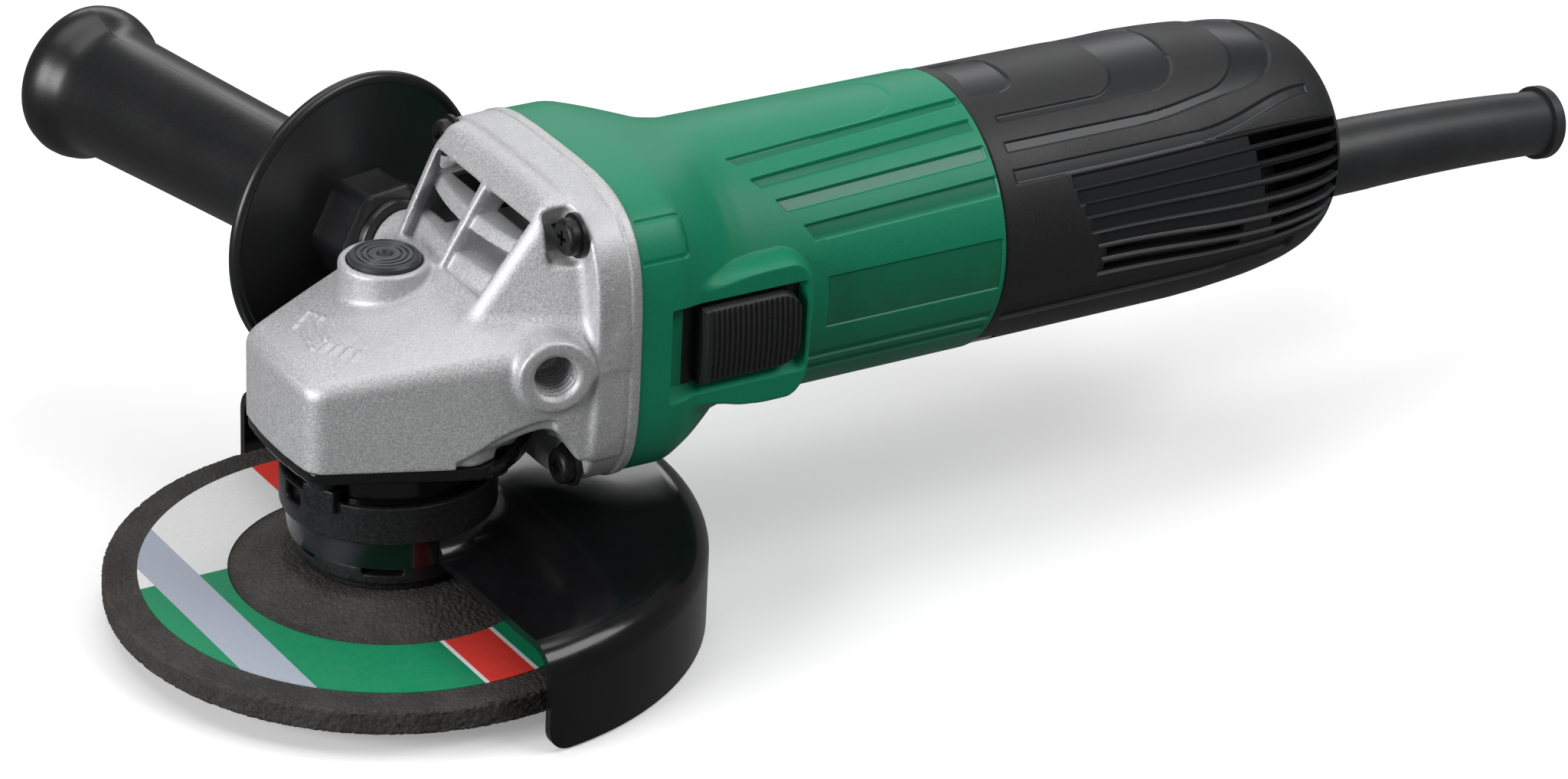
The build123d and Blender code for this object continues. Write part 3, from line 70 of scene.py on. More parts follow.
class Shader:
    """A node material with short helpers. All lengths are in millimetres of the object's own space."""

    def __init__(self, name, color, roughness, metallic=0.0, **settings):
        self.material = bpy.data.materials.new(name)
        self.material.use_nodes = True
        self.tree = self.material.node_tree
        self.bsdf = self.tree.nodes["Principled BSDF"]
        base = {"Base Color": (*color, 1), "Roughness": roughness, "Metallic": metallic}
        set_inputs(self.bsdf, **base, **settings)
        self.place = self.node("ShaderNodeTexCoord").outputs["Object"]
        self.height = None

    def node(self, kind, **values):
        made = self.tree.nodes.new(kind)
        for key, value in values.items():
            setattr(made, key, value)
        return made

    def link(self, out, into):
        self.tree.links.new(out, into)

    def noise(self, size, detail=4.0, roughness=0.6, stretch=(1, 1, 1)):
        """Noise whose features are about `size` mm across, longer along an axis whose stretch is small."""
        scaled, made = self.node("ShaderNodeMapping"), self.node("ShaderNodeTexNoise")
        set_inputs(scaled, Scale=stretch)
        self.link(self.place, scaled.inputs["Vector"])
        self.link(scaled.outputs["Vector"], made.inputs["Vector"])
        set_inputs(made, Scale=1 / (size * MM), Detail=detail, Roughness=roughness)
        return made.outputs["Fac"]

    def cells(self, size):
        made = self.node("ShaderNodeTexVoronoi")
        self.link(self.place, made.inputs["Vector"])
        set_inputs(made, Scale=1 / (size * MM))
        return made.outputs["Distance"]

    def ramp(self, value, *stops):
        """Maps a value through (position, colour) stops; a plain number is a grey."""
        made = self.node("ShaderNodeValToRGB")
        self.link(value, made.inputs["Fac"])
        elements = made.color_ramp.elements
        while len(elements) < len(stops):
            elements.new(0.5)
        for element, (position, color) in zip(elements, stops):
            element.position = position
            rgb = color if isinstance(color, tuple) else (color, color, color)
            element.color = (*rgb, 1)
        return made.outputs["Color"]

    def feed(self, socket, value):
        """Gives a socket a number, a colour or the output of another node."""
        if isinstance(value, tuple):
            socket.default_value = (*value, 1)
        elif isinstance(value, (int, float)):
            socket.default_value = value
        else:
            self.link(value, socket)

    def math(self, operation, a, b, clamp=False):
        made = self.node("ShaderNodeMath", operation=operation, use_clamp=clamp)
        self.feed(made.inputs[0], a)
        self.feed(made.inputs[1], b)
        return made.outputs[0]

    def mix(self, factor, a, b):
        made = self.node("ShaderNodeMix", data_type="RGBA")
        for name, value in (("Factor", factor), (6, a), (7, b)):
            self.feed(made.inputs[name], value)
        return made.outputs[2]

    def blend(self, value, low, high, a, b):
        """Colour a up to a low value, colour b from a high one, and a mix between."""
        return self.mix(self.ramp(value, (low, 0.0), (high, 1.0)), a, b)

    def axes(self):
        """The x, y and z of the point, in metres."""
        made = self.node("ShaderNodeSeparateXYZ")
        self.link(self.place, made.inputs[0])
        return made.outputs

    def color(self, value):
        self.link(value, self.bsdf.inputs["Base Color"])

    def roughness(self, value, low, high):
        self.link(self.ramp(value, (0.3, low), (0.7, high)), self.bsdf.inputs["Roughness"])

    def bump(self, value, depth, strength):
        """Adds a bump of `depth` mm on top of any earlier one."""
        made = self.node("ShaderNodeBump")
        set_inputs(made, Strength=strength, Distance=depth * MM)
        self.link(value, made.inputs["Height"])
        if self.height is not None:
            self.link(self.height, made.inputs["Normal"])
        self.height = made.outputs["Normal"]
        self.link(self.height, self.bsdf.inputs["Normal"])


def cast_aluminium():
    """Bead-blasted die casting: satin, with a sparkling fine grain and cloudy patches."""
    s = Shader("cast_aluminium", (0.60, 0.60, 0.61), 0.55, metallic=0.62)
    grain = s.noise(0.5, detail=3, roughness=0.7)
    coarse = s.noise(1.1, detail=2)
    patches = s.noise(9, detail=2)
    tone = s.blend(grain, 0.35, 0.65, (0.47, 0.47, 0.485), (0.68, 0.68, 0.685))
    s.color(s.mix(s.ramp(patches, (0.4, 0.0), (0.6, 0.25)), tone, (0.53, 0.53, 0.54)))
    s.roughness(grain, 0.44, 0.66)
    s.bump(grain, 0.13, 0.6)
    s.bump(coarse, 0.07, 0.35)
    return s.material


FINISH_BLACK = 1.4  # a finish over this is bare black plastic, whatever the shell's colour


def textured_plastic(name, dark, light, low, high, grain_size=0.5, depth=0.05, specular=0.4, polished=None):
    """Moulded plastic with a fine spark-eroded grain.

    low, high: its roughness. polished: colour and roughness where the mesh's "finish" is 1.
    """
    s = Shader(name, dark, low, **{"Specular IOR Level": specular})
    grain = s.noise(grain_size, detail=3, roughness=0.65)
    haze = s.noise(24, detail=3)
    color = s.blend(grain, 0.35, 0.7, dark, light)
    gloss = s.math("ADD", s.ramp(grain, (0.3, low), (0.7, high)), s.ramp(haze, (0.4, 0.0), (0.7, 0.06)))
    if polished:
        share = s.node("ShaderNodeAttribute", attribute_name="finish").outputs["Fac"]
        smooth = s.math("MINIMUM", share, 1.0)
        color = s.mix(smooth, color, polished[:3])
        color = s.mix(s.math("GREATER_THAN", share, FINISH_BLACK), color, (0.006, 0.006, 0.007))
        gloss = s.mix(smooth, gloss, (polished[3],) * 3)
        grain = s.math("MULTIPLY", grain, s.math("SUBTRACT", 1.0, smooth))
    s.color(color)
    s.link(gloss, s.bsdf.inputs["Roughness"])
    s.bump(grain, depth, 0.5)
    return s.material


def simple_finish(name, color, dark, light, tone, gloss, relief, **settings):
    """A material of three noises. tone: size, detail, low and high of its colour; gloss: size, detail,
    least and greatest roughness; relief: size, detail, depth and strength."""
    s = Shader(name, color, gloss[2], **settings)
    s.color(s.blend(s.noise(*tone[:2]), *tone[2:], dark, light))
    s.roughness(s.noise(*gloss[:2]), *gloss[2:])
    s.bump(s.noise(*relief[:2]), *relief[2:])
    return s.material


def grained_metal(name, dark, light, size, detail, stretch, stops, gloss, relief, metallic=1.0):
    """Metal whose colour, gloss and relief follow one grain or one set of drawing lines."""
    s = Shader(name, dark, gloss[0], metallic)
    lines = s.noise(size, detail=detail, stretch=stretch)
    s.color(s.blend(lines, *stops, dark, light))
    s.roughness(lines, *gloss)
    s.bump(lines, *relief)
    return s.material


def stacked_steel():
    """The edges of half-millimetre laminations."""
    s = Shader("stacked_steel", (0.28, 0.28, 0.29), 0.4, metallic=0.9)
    x = s.axes()[0]
    half_sheet = 0.25 * MM
    sheets = s.math("PINGPONG", x, half_sheet)
    share = s.math("MULTIPLY", sheets, 1 / half_sheet, clamp=True)
    s.color(s.mix(share, (0.12, 0.12, 0.13), (0.36, 0.36, 0.37)))
    s.bump(sheets, 0.5, 0.5)
    return s.material


def copper_wire():
    s = Shader("copper_wire", (0.62, 0.26, 0.10), 0.3, metallic=0.9)
    turns = s.noise(0.5, detail=2, stretch=(0.2, 1, 1))
    s.color(s.blend(turns, 0.35, 0.65, (0.42, 0.15, 0.05), (0.78, 0.36, 0.16)))
    s.bump(turns, 0.1, 0.6)
    return s.material


def abrasive_grit():
    """Resin-bonded grit: dark binder, lighter grains of several sizes and small pores."""
    s = Shader("abrasive_grit", (0.06, 0.055, 0.05), 0.85)
    grains, fine = s.cells(1.1), s.noise(0.45, detail=4, roughness=0.75)
    clouds = s.noise(11, detail=3)
    base = s.blend(clouds, 0.35, 0.65, (0.024, 0.022, 0.021), (0.046, 0.042, 0.038))
    speck = s.ramp(fine, (0.52, 0.0), (0.68, 1.0))
    spotted = s.mix(s.math("MULTIPLY", speck, 0.45), base, (0.15, 0.142, 0.13))
    glint = s.ramp(grains, (0.05, 1.0), (0.16, 0.0))
    s.color(s.mix(s.math("MULTIPLY", glint, 0.35), spotted, (0.28, 0.27, 0.25)))
    s.roughness(fine, 0.7, 0.95)
    s.bump(fine, 0.22, 0.7)
    s.bump(grains, 0.4, 0.7)
    return s.material


def printed_label():
    """The wheel's paper label: a grey-blue bar, white and green fields, and a red band edged in white."""
    s = Shader("printed_label", (0.9, 0.9, 0.9), 0.5, **{"Coat Weight": 0.1, "Coat Roughness": 0.35})
    x, y, _ = s.axes()
    white, green = (0.86, 0.86, 0.87), (0.0, 0.26, 0.11)
    bar_blue, red = (0.42, 0.46, 0.55), (0.80, 0.045, 0.03)

    def between(value, low, high):
        above = s.math("GREATER_THAN", value, low * MM)
        return s.math("MULTIPLY", above, s.math("LESS_THAN", value, high * MM))

    leaning = s.math("SUBTRACT", x, s.math("MULTIPLY", y, -0.035))
    field = s.mix(s.math("GREATER_THAN", y, 14 * MM), green, white)
    field = s.mix(s.math("LESS_THAN", x, 0.0), green, field)
    for low, high, stripe in ((-6.4, 6.6, white), (-5.4, 5.6, red), (-49.0, -38.4, bar_blue)):
        field = s.mix(between(leaning, low, high), field, stripe)
    ink = s.noise(0.5, detail=3)
    s.color(s.mix(s.ramp(ink, (0.45, 0.0), (0.75, 0.16)), field, (0.2, 0.2, 0.19)))
    s.roughness(s.noise(3, detail=5), 0.38, 0.6)
    s.bump(s.noise(1.2, detail=4), 0.04, 0.5)
    return s.material


def pressed_felt():
    s = Shader("pressed_felt", (0.2, 0.18, 0.15), 0.95, **{"Sheen Weight": 0.4})
    fibre = s.noise(0.6, detail=6, roughness=0.8)
    s.color(s.mix(fibre, (0.12, 0.11, 0.09), (0.3, 0.28, 0.24)))
    s.bump(fibre, 0.2, 0.8)
    return s.material


GREEN = textured_plastic(
    "green_plastic", (0.0, 0.215, 0.108), (0.002, 0.25, 0.13), 0.40, 0.52, polished=(0.0, 0.165, 0.085, 0.33),
)
BLACK = textured_plastic(
    "black_plastic", (0.012, 0.0123, 0.0135), (0.021, 0.0214, 0.023), 0.42, 0.54,
    polished=(0.014, 0.015, 0.018, 0.36),
)
HANDLE_BLACK = textured_plastic(
    "handle_plastic", (0.006, 0.0062, 0.007), (0.010, 0.0103, 0.0115), 0.26, 0.34,
    grain_size=0.4, depth=0.02, specular=0.5,
)
INNER = textured_plastic("inner_plastic", (0.03, 0.03, 0.032), (0.05, 0.05, 0.052), 0.5, 0.65, 0.9)
CARBON = textured_plastic("pressed_carbon", (0.02, 0.02, 0.02), (0.045, 0.045, 0.046), 0.6, 0.8, 0.4)
DARK_STEEL = grained_metal(
    "blackened_steel", (0.008, 0.008, 0.009), (0.022, 0.022, 0.024), 0.8, 5, (1, 1, 1),
    (0.35, 0.7), (0.34, 0.52), (0.03, 0.4), metallic=0.4,
)
STEEL = grained_metal(
    "bright_steel", (0.50, 0.50, 0.51), (0.66, 0.66, 0.66), 0.3, 2, (0.15, 1, 1),
    (0.3, 0.7), (0.2, 0.36), (0.02, 0.3),
)
BRASS, BRONZE = (
    grained_metal(name, dark, light, 0.6, 3, (1, 1, 0.2), (0.35, 0.65), (0.25, 0.42), (0.02, 0.3))
    for name, dark, light in (
        ("drawn_brass", (0.55, 0.38, 0.13), (0.72, 0.55, 0.24)),
        ("sintered_bronze", (0.36, 0.22, 0.09), (0.52, 0.34, 0.16)),
    )
)
# a name panel with almost no grain, baked paint with a faint orange peel, and rubber
PANEL_GREEN = simple_finish(
    "green_smooth", (0.0, 0.150, 0.072), (0.0, 0.150, 0.072), (0.001, 0.169, 0.08164),
    (7, 2, 0.35, 0.65), (1.6, 5, 0.24, 0.34), (0.6, 2, 0.006, 0.2),
    **{"Coat Weight": 0.15, "Coat Roughness": 0.2},
)
PAINT = simple_finish(
    "guard_paint", (0.004, 0.004, 0.005), (0.003, 0.003, 0.0035), (0.007, 0.007, 0.008),
    (30, 4, 0.4, 0.7), (12, 6, 0.12, 0.24), (1.8, 2, 0.018, 0.35),
    **{"Coat Weight": 0.15, "Coat Roughness": 0.08, "Specular IOR Level": 0.38},
)
RUBBER = simple_finish(
    "black_rubber", (0.02, 0.021, 0.023), (0.016, 0.017, 0.019), (0.030, 0.031, 0.034),
    (14, 4, 0.35, 0.7), (0.35, 3, 0.36, 0.5), (0.35, 3, 0.02, 0.35),
    **{"Sheen Weight": 0.15, "Sheen Roughness": 0.4},
)
CAST = cast_aluminium()

SLOT_MATERIALS = {
    "cast_aluminium": CAST, "green_plastic": GREEN, "plate_green": PANEL_GREEN,
    "black_plastic": BLACK, "guard_black": PAINT, "dark_steel": DARK_STEEL,
    "black_rubber": RUBBER, "abrasive": abrasive_grit(), "label": printed_label(), "steel": STEEL,
    "laminations": stacked_steel(), "copper": copper_wire(), "carbon": CARBON, "brass": BRASS,
    "bronze": BRONZE, "felt": pressed_felt(), "inner_plastic": INNER,
}
SLOT_OF = {part["node"]: part["material_slot"] for part in frame["record"]["subparts"]}
BODY_NODES = frame["record"]["behaviour"]["bodies"]
BODY_OF = {node: body for body, nodes in BODY_NODES.items() for node in nodes}


def give(obj, material):
    obj.data.materials.clear()
    obj.data.materials.append(material)


for node_name, cad_node in NODES.items():
    give(cad_node, SLOT_MATERIALS[SLOT_OF[node_name]])


# ---------------------------------------------------------------- mesh helpers
def placed(name, data):
    """A new object of the scene."""
    obj = bpy.data.objects.new(name, data)
    bpy.context.scene.collection.objects.link(obj)
    return obj


def dress(name, mesh, material, sharp):
    """An object of this mesh, smooth but for its edges of more than `sharp` degrees."""
    mesh.polygons.foreach_set("use_smooth", [True] * len(mesh.polygons))
    mesh.set_sharp_from_angle(angle=math.radians(sharp))
    obj = placed(name, mesh)
    give(obj, material)
    return obj


def new_piece(name, vertices, faces, material, sharp):
    """A smooth-shaded piece from points in mm and faces of any kind."""
    mesh = bpy.data.meshes.new(name)
    mesh.from_pydata([(x * MM, y * MM, z * MM) for x, y, z in vertices], [], faces)
    mesh.update()
    return dress(name, mesh, material, sharp)


def quad_mesh(name, points, quads, material, sharp, finish=None):
    """A smooth-shaded piece of quads from arrays, in mm; finish is each point's share of polish."""
    mesh = bpy.data.meshes.new(name)
    mesh.vertices.add(len(points))
    mesh.vertices.foreach_set("co", (np.asarray(points) * MM).astype(np.float32).ravel())
    mesh.loops.add(len(quads) * 4)
    mesh.loops.foreach_set("vertex_index", np.asarray(quads).astype(np.int32).ravel())
    mesh.polygons.add(len(quads))
    mesh.polygons.foreach_set("loop_start", np.arange(len(quads), dtype=np.int32) * 4)
    mesh.update(calc_edges=True)
    mesh.validate()
    if finish is not None:
        layer = mesh.attributes.new("finish", "FLOAT", "POINT")
        layer.data.foreach_set("value", np.asarray(finish).astype(np.float32).ravel())
    return dress(name, mesh, material, sharp)


def stand_for(obj, node):
    """The piece rides on its node's body with its finish, and the CAD node is hidden."""
    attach(obj, BODY_OF[node])
    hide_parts(node)


def grid_faces(rows, columns, wrap=True):
    """Quads of a grid of points stored row by row."""
    faces = []
    for i in range(rows - 1):
        for j in range(columns if wrap else columns - 1):
            a, b = i * columns + j, i * columns + (j + 1) % columns
            faces.append((a, b, b + columns, a + columns))
    return faces


def smooth_step(value, low, high):
    t = np.clip((value - low) / (high - low), 0, 1)
    return t * t * (3 - 2 * t)


def fade(value, low, high):
    """1 up to low, falling smoothly to 0 at high."""
    return 1 - smooth_step(value, low, high)


def plateau(value, low, high, edge):
    """1 between low and high, falling to 0 over `edge` outside them."""
    return smooth_step(value, low - edge, low) * fade(value, high, high + edge)


def turned(name, profile, material, place, segments, sharp=35.0, wobble=None):
    """A piece turned about the local z axis of `place` from (radius, height) points in mm.

    wobble(radius, height, angle) may change the radii and heights round the turn.
    """
    points = np.array(profile, float)
    angle = np.linspace(0, 2 * np.pi, segments, endpoint=False)
    radius = np.repeat(points[:, 0][:, None], segments, 1)
    height = np.repeat(points[:, 1][:, None], segments, 1)
    if wobble is not None:
        radius, height = wobble(radius, height, angle[None, :])
    local = np.stack([radius * np.cos(angle), radius * np.sin(angle), height], -1).reshape(-1, 3)
    faces = grid_faces(len(points), segments)
    for row, order in ((0, -1), (len(points) - 1, 1)):
        faces.append(tuple(row * segments + j for j in range(segments))[::order])
    obj = new_piece(name, local, faces, material, sharp)
    moved = Matrix.Translation(Vector(place.translation) * MM) @ place.to_3x3().to_4x4()
    obj.data.transform(moved)
    return obj


def arc(center, radius, start, end, count):
    """Points of an arc, angles in degrees, as (first, second) coordinates."""
    angles = np.radians(np.linspace(start, end, count))
    return [(center[0] + radius * math.cos(a), center[1] + radius * math.sin(a)) for a in angles]


def recast(node, name, voxel, passes, material):
    """A copy of a CAD node with its hard edges rounded as a casting's or a moulding's are."""
    obj = placed(name, NODES[node].data.copy())
    remesh = obj.modifiers.new("skin", "REMESH")
    remesh.mode, remesh.voxel_size, remesh.use_smooth_shade = "VOXEL", voxel * MM, True
    soften = obj.modifiers.new("soften", "SMOOTH")
    soften.factor, soften.iterations = 0.5, passes
    shaped = bpy.data.meshes.new_from_object(obj.evaluated_get(bpy.context.evaluated_depsgraph_get()))
    bpy.data.objects.remove(obj)
    stand_for(dress(name, shaped, material, 60), node)


# ---------------------------------------------------------------- shells about the motor axis
LEAST_WALL = 1.0


def arc_length(radius, degrees):
    return radius * np.radians(degrees)


def folded(angle):
    """The angle from the top on either side, 0 to 180 degrees."""
    return np.where(angle > 180, 360 - angle, angle)


def barrel_shell(name, node, material, stations, columns, wall, radii, relief, finish, is_open, lean):
    """A hollow shell about the motor axis, from a grid of stations in mm and columns of angles.

    Angles are in degrees from the top, growing towards -Y. Each function takes x and the angle.
    radii: the plain outside. relief: how far the outside lies under it, from the plain radius as well.
    finish: 1 where it is polished and 2 where it is black. is_open: where the wall has a hole.
    lean: turns the columns by some degrees, so that they run along slanted features; the other
    functions get the angle before that turn.
    """
    x = np.array(stations, float)[:, None]
    angle = (np.arange(columns) * 360 / columns)[None, :]
    base = radii(x, angle)
    outer = base - relief(x, angle, base)
    inner = np.minimum(base - wall, outer - LEAST_WALL)
    rows = len(stations)
    turn = np.radians(angle + lean(x, angle))
    points = []
    for radius in (outer, inner):
        y, z = -radius * np.sin(turn), AXIS_Z + radius * np.cos(turn)
        points.append(np.stack([np.broadcast_to(x, y.shape), y, z], -1).reshape(-1, 3))
    holes = is_open((x[1:] + x[:-1]) / 2, angle + 180 / columns)
    half = rows * columns
    number = np.arange(half).reshape(rows, columns)
    a, d = number[:-1], number[1:]
    b, c = np.roll(a, -1, 1), np.roll(d, -1, 1)
    solid = ~holes
    quads = [
        np.stack([a, d, c, b], -1)[solid],
        np.stack([a, b, c, d], -1)[solid] + half,
    ]
    lift = np.array([0, 0, half, half])
    for one, two, axis, shift in ((b, c, 1, -1), (d, a, 1, 1), (c, d, 0, -1), (a, b, 0, 1)):
        at_edge = holes & ~np.roll(holes, shift, axis)
        quads.append(np.stack([one, two, two, one], -1)[at_edge] + lift)
    for ring, order in ((number[0], 1), (number[-1], -1)):
        after = np.roll(ring, -1)
        quads.append((np.stack([ring, after, after, ring], -1) + lift)[:, ::order])
    polish = np.concatenate([finish(x, angle).ravel(), np.zeros(half)])
    stand_for(quad_mesh(name, np.concatenate(points), np.concatenate(quads), material, 42, polish), node)


def leaning(angle, table, share):
    """A turn in degrees, alike on both sides, from (angle, turn) pairs."""
    amount = np.interp(folded(angle), *zip(*table)) * share
    return np.where(angle > 180, -amount, amount)


def power_radius(half_w, half_h, power, angle):
    """Polar radius of a rounded square with these half sizes."""
    s, c = np.abs(np.sin(np.radians(angle))), np.abs(np.cos(np.radians(angle)))
    return ((s / half_w) ** power + (c / half_h) ** power) ** (-1 / power)


# motor housing
BARREL_R, SPLIT_X = 32.4, 137.0
# station, half width, half height and the power that rounds the corners
HOUSING_SECTIONS = (
    (40, 38, 35, 3.8), (51, 38, 35, 3.8), (57.5, 36.2, 34.2, 3.1), (66, 32.9, 32.9, 2.2),
    (72, 32.4, 32.4, 2.0), (137, 32.4, 32.4, 2.0),
)
# start and end station of each slanted groove, with its edges in degrees at GROOVES_X
GROOVES_X = 75.0
GROOVES = (
    (75.0, 136.5, 23.7, 27.2), (78.0, 136.0, 35.6, 39.0),
    (82.0, 136.0, 46.3, 50.8), (87.0, 136.5, 58.6, 63.8),
)
GROOVE_LEAN = ((0, 0), (25.5, -8.4), (37.2, -6.9), (48.5, -4.5), (61.0, -3.9), (75, 0), (180, 0))
LOW_GROOVES = (115.0, 123.0)  # angles of the two straight ones
KNOB_X, KNOB_END, KNOB_LOW, KNOB_HIGH = 56.2, 81.2, 54.6, 73.0
PAD_Y, FLOOR_Y = 36.6, 33.6  # how far the switch's pad and the floor of its recess stand out
PAD_ANGLES = (30, 150)
FLOOR_ANGLES = (40, 140)


def housing_radii(x, angle):
    sections = np.array(HOUSING_SECTIONS, float)
    sizes = [np.interp(x, sections[:, 0], sections[:, k]) for k in (1, 2, 3)]
    blend = [np.convolve(np.pad(s[:, 0], 5, mode="edge"), np.ones(11) / 11, "valid")[:, None] for s in sizes]
    return power_radius(*blend, angle)


def rounded_box(u, v, u_mid, v_mid, half_u, half_v, corner):
    """Signed distance to a rounded rectangle, negative inside."""
    du, dv = np.abs(u - u_mid) - half_u + corner, np.abs(v - v_mid) - half_v + corner
    outside = np.hypot(np.maximum(du, 0), np.maximum(dv, 0))
    return outside + np.minimum(np.maximum(du, dv), 0) - corner


def within(angle, limits):
    return (angle > limits[0]) & (angle < limits[1])


def floor_height(angle):
    """Height on the plane y = -FLOOR_Y, the floor that the knob slides on."""
    return AXIS_Z + FLOOR_Y / np.tan(np.radians(np.clip(angle, *FLOOR_ANGLES)))


def knob_recess(x, angle):
    """Signed distance to the sunk field that the knob slides in."""
    return rounded_box(x, floor_height(angle), 65.2, 63.8, 17.2, 9.9, 1.0)


def name_panel(x, angle):
    """Signed distance to the sunk panel on the near side."""
    return rounded_box(x, arc_length(BARREL_R, angle), 113.4, arc_length(BARREL_R, 89.8), 22.9, 6.2, 0.6)


def groove_share(x, near):
    """1 on the floor of the slanted grooves, 0 off them; their front ends are cut on the slant."""
    share = np.zeros(np.broadcast(x, near).shape)
    s = arc_length(BARREL_R, near)
    for start, end, low, high in GROOVES:
        across = plateau(s, arc_length(BARREL_R, low), arc_length(BARREL_R, high), 0.5)
        slant = 1.5 * (near - low) / (high - low)
        share = np.maximum(share, across * plateau(x, start + slant, end, 0.5))
    return share


def housing_relief(x, angle, base):
    near = folded(angle)
    lowered = 0.75 * groove_share(x, near)
    for middle in LOW_GROOVES:
        across = plateau(arc_length(BARREL_R, near - middle), -1.1, 1.1, 0.35)
        lowered = np.maximum(lowered, 0.7 * across * plateau(x, 88.0, 136.0, 0.5))
    lowered = np.maximum(lowered, 0.6 * fade(name_panel(x, angle), -0.35, 0.1))
    signed = arc_length(BARREL_R, np.where(angle > 180, angle - 360, angle))
    top = rounded_box(x, signed, 100.0, 0, 23.0, arc_length(BARREL_R, 22.4), 11.0)
    lowered = np.maximum(lowered, 0.32 * fade(top, -0.3, 0.25) * smooth_step(x, 92, 116))
    flare_r = 37
    tab = rounded_box(x, arc_length(flare_r, near), 44.0, arc_length(flare_r, 53.5), 8.2, 3.9, 0.8)
    outline = fade(np.abs(tab) - 0.25, -0.1, 0.25)
    lowered = np.maximum(lowered, 0.35 * outline * (x > 41))
    # the pad that stands out round the switch, and the recess that the knob slides in
    z = AXIS_Z + base * np.cos(np.radians(angle))
    side = np.sin(np.radians(np.clip(angle, *FLOOR_ANGLES)))
    pad = fade(rounded_box(x, z, 65.0, 63.7, 20.0, 14.6, 7.0), -2.0, 1.6)
    on_side = within(angle, PAD_ANGLES)
    raised = np.where(on_side, np.maximum(PAD_Y / side - base, 0) * pad, 0)
    recess = fade(knob_recess(x, angle), -0.2, 0.15)
    deep = (raised + base) - FLOOR_Y / side
    sunk = np.where(on_side, recess * np.maximum(deep, 0), 0)
    return lowered - raised + sunk


def housing_lean(x, angle):
    return leaning(angle, GROOVE_LEAN, np.clip((x - GROOVES_X) / (SPLIT_X - GROOVES_X), 0, 1))


def housing_finish(x, angle):
    """The switch's strip is black; the name panel and the grooves are polished."""
    strip = (knob_recess(x, angle) < -0.5) & (x > 52.8) & within(angle, FLOOR_ANGLES)
    panel = fade(name_panel(x, angle), -0.3, 0.1)
    return np.where(strip, 2.0, np.maximum(panel, groove_share(x, folded(angle))))


def knob_slot(x, angle):
    """The slot behind the knob, no longer than the knob covers at both ends of its travel."""
    across = np.abs(floor_height(angle) - 65.2) < 4.2
    return (np.abs(x - 65.0) < 7.8) & across & within(angle, FLOOR_ANGLES)


barrel_shell(
    "housing_shell", "motor_housing", GREEN, np.linspace(40.0, SPLIT_X, 300), 800, 2.6,
    housing_radii, housing_relief, housing_finish, knob_slot, housing_lean,
)

# rear cover
COVER_PROFILE = (
    (137.2, 31.6), (137.8, 32.1), (195, 32.1), (203, 31.8), (210, 31.3), (216, 30.8), (221, 30.1),
    (226.5, 29.1), (231.2, 27.7), (235.1, 25.4), (238.0, 22.2), (239.9, 18.2), (240.8, 13.4),
    (241.0, 8.0), (241.05, 0.3),
)
# middles of the seven vent channels in degrees, where they begin, how far they fan out to the rear,
# and where their floor opens
CHANNELS = (
    (63.1, 157.0, -2.1, 207.0), (69.8, 157.8, -1.3, 208.2), (76.0, 159.5, 0.7, 209.0),
    (82.6, 161.0, 2.2, 210.2), (89.6, 163.0, 3.9, 211.8), (96.4, 164.5, 5.3, 213.8),
    (104.0, 164.0, 5.0, 216.0),
)
CHANNEL_STARTS = [start for _, start, _, _ in CHANNELS]
CHANNELS_END = 235.0
SEAT_X, SEAT_ANGLE, SEAT_R = 141.0, 145, 31.0  # the flat seats of the two screws


def cover_stations():
    """Stations close together all along, and closer round the domed end."""
    along = np.linspace(0, 1, 330)
    knots = np.array(COVER_PROFILE, float)
    length = np.concatenate([[0], np.cumsum(np.hypot(*np.diff(knots, axis=0).T))])
    length /= length[-1]
    return np.interp(along, length, knots[:, 0]), np.interp(along, length, knots[:, 1])


COVER_X, COVER_RADII = cover_stations()


def cover_radii(x, angle):
    smooth = np.convolve(np.pad(COVER_RADII, 4, mode="edge"), np.ones(9) / 9, "valid")
    smooth[:4] = COVER_RADII[:4]
    return smooth[:, None] + 0 * angle


def band(x, s, outer, inner, front):
    """Signed distance to the band between two rounded boxes about the top line, behind a station."""
    out, hole = (rounded_box(x, s, 120.0, 0, *box) for box in (outer, inner))
    return np.maximum(np.maximum(out, -hole), front - x)


def inlays(x, s):
    """Signed distances to the smooth inlays of the cover's top; s is the arc from the top line in mm."""
    first = rounded_box(x, s, 139.0, 0, 14.4, 9.5, 5.5)
    first = np.maximum(first, 141.2 - 0.9 * (s / 9.5) ** 2 - x)
    second = band(x, s, (75.5, 18.0, 11.0), (58.0, 16.0, 9.0), 143.0)
    lean = 5.6 * smooth_step(x, 178, 224)
    third = band(x, s, (104.0, 25.6 - lean, 15.0), (92.0, 23.0 - lean, 13.0), 142.0)
    center = 31.4 - 10.5 * smooth_step(x, 192, 234)
    half = 1.7 - 0.5 * smooth_step(x, 205, 229)
    fourth = np.maximum(np.abs(np.abs(s) - center) - half, np.abs(x - 185) - 43)
    return np.minimum(np.minimum(first, second), np.minimum(third, fourth))


def channel_share(x, near, half, edge, starts=CHANNEL_STARTS):
    """1 in the vent channels from their starts on, 0 on the ribs between; half and edge in degrees."""
    share = np.zeros(np.broadcast(x, near).shape)
    for (middle, *_), start in zip(CHANNELS, starts):
        across = plateau(near - middle, -half, half, edge)
        share = np.maximum(share, across * plateau(x, start, CHANNELS_END, 0.5))
    return share


def cover_lean(x, angle):
    fan = ((0, 0), (50, 0), *((middle, shift) for middle, _, shift, _ in CHANNELS), (122, 0), (180, 0))
    return leaning(angle, fan, 1.2 * smooth_step(x, 165, 225))


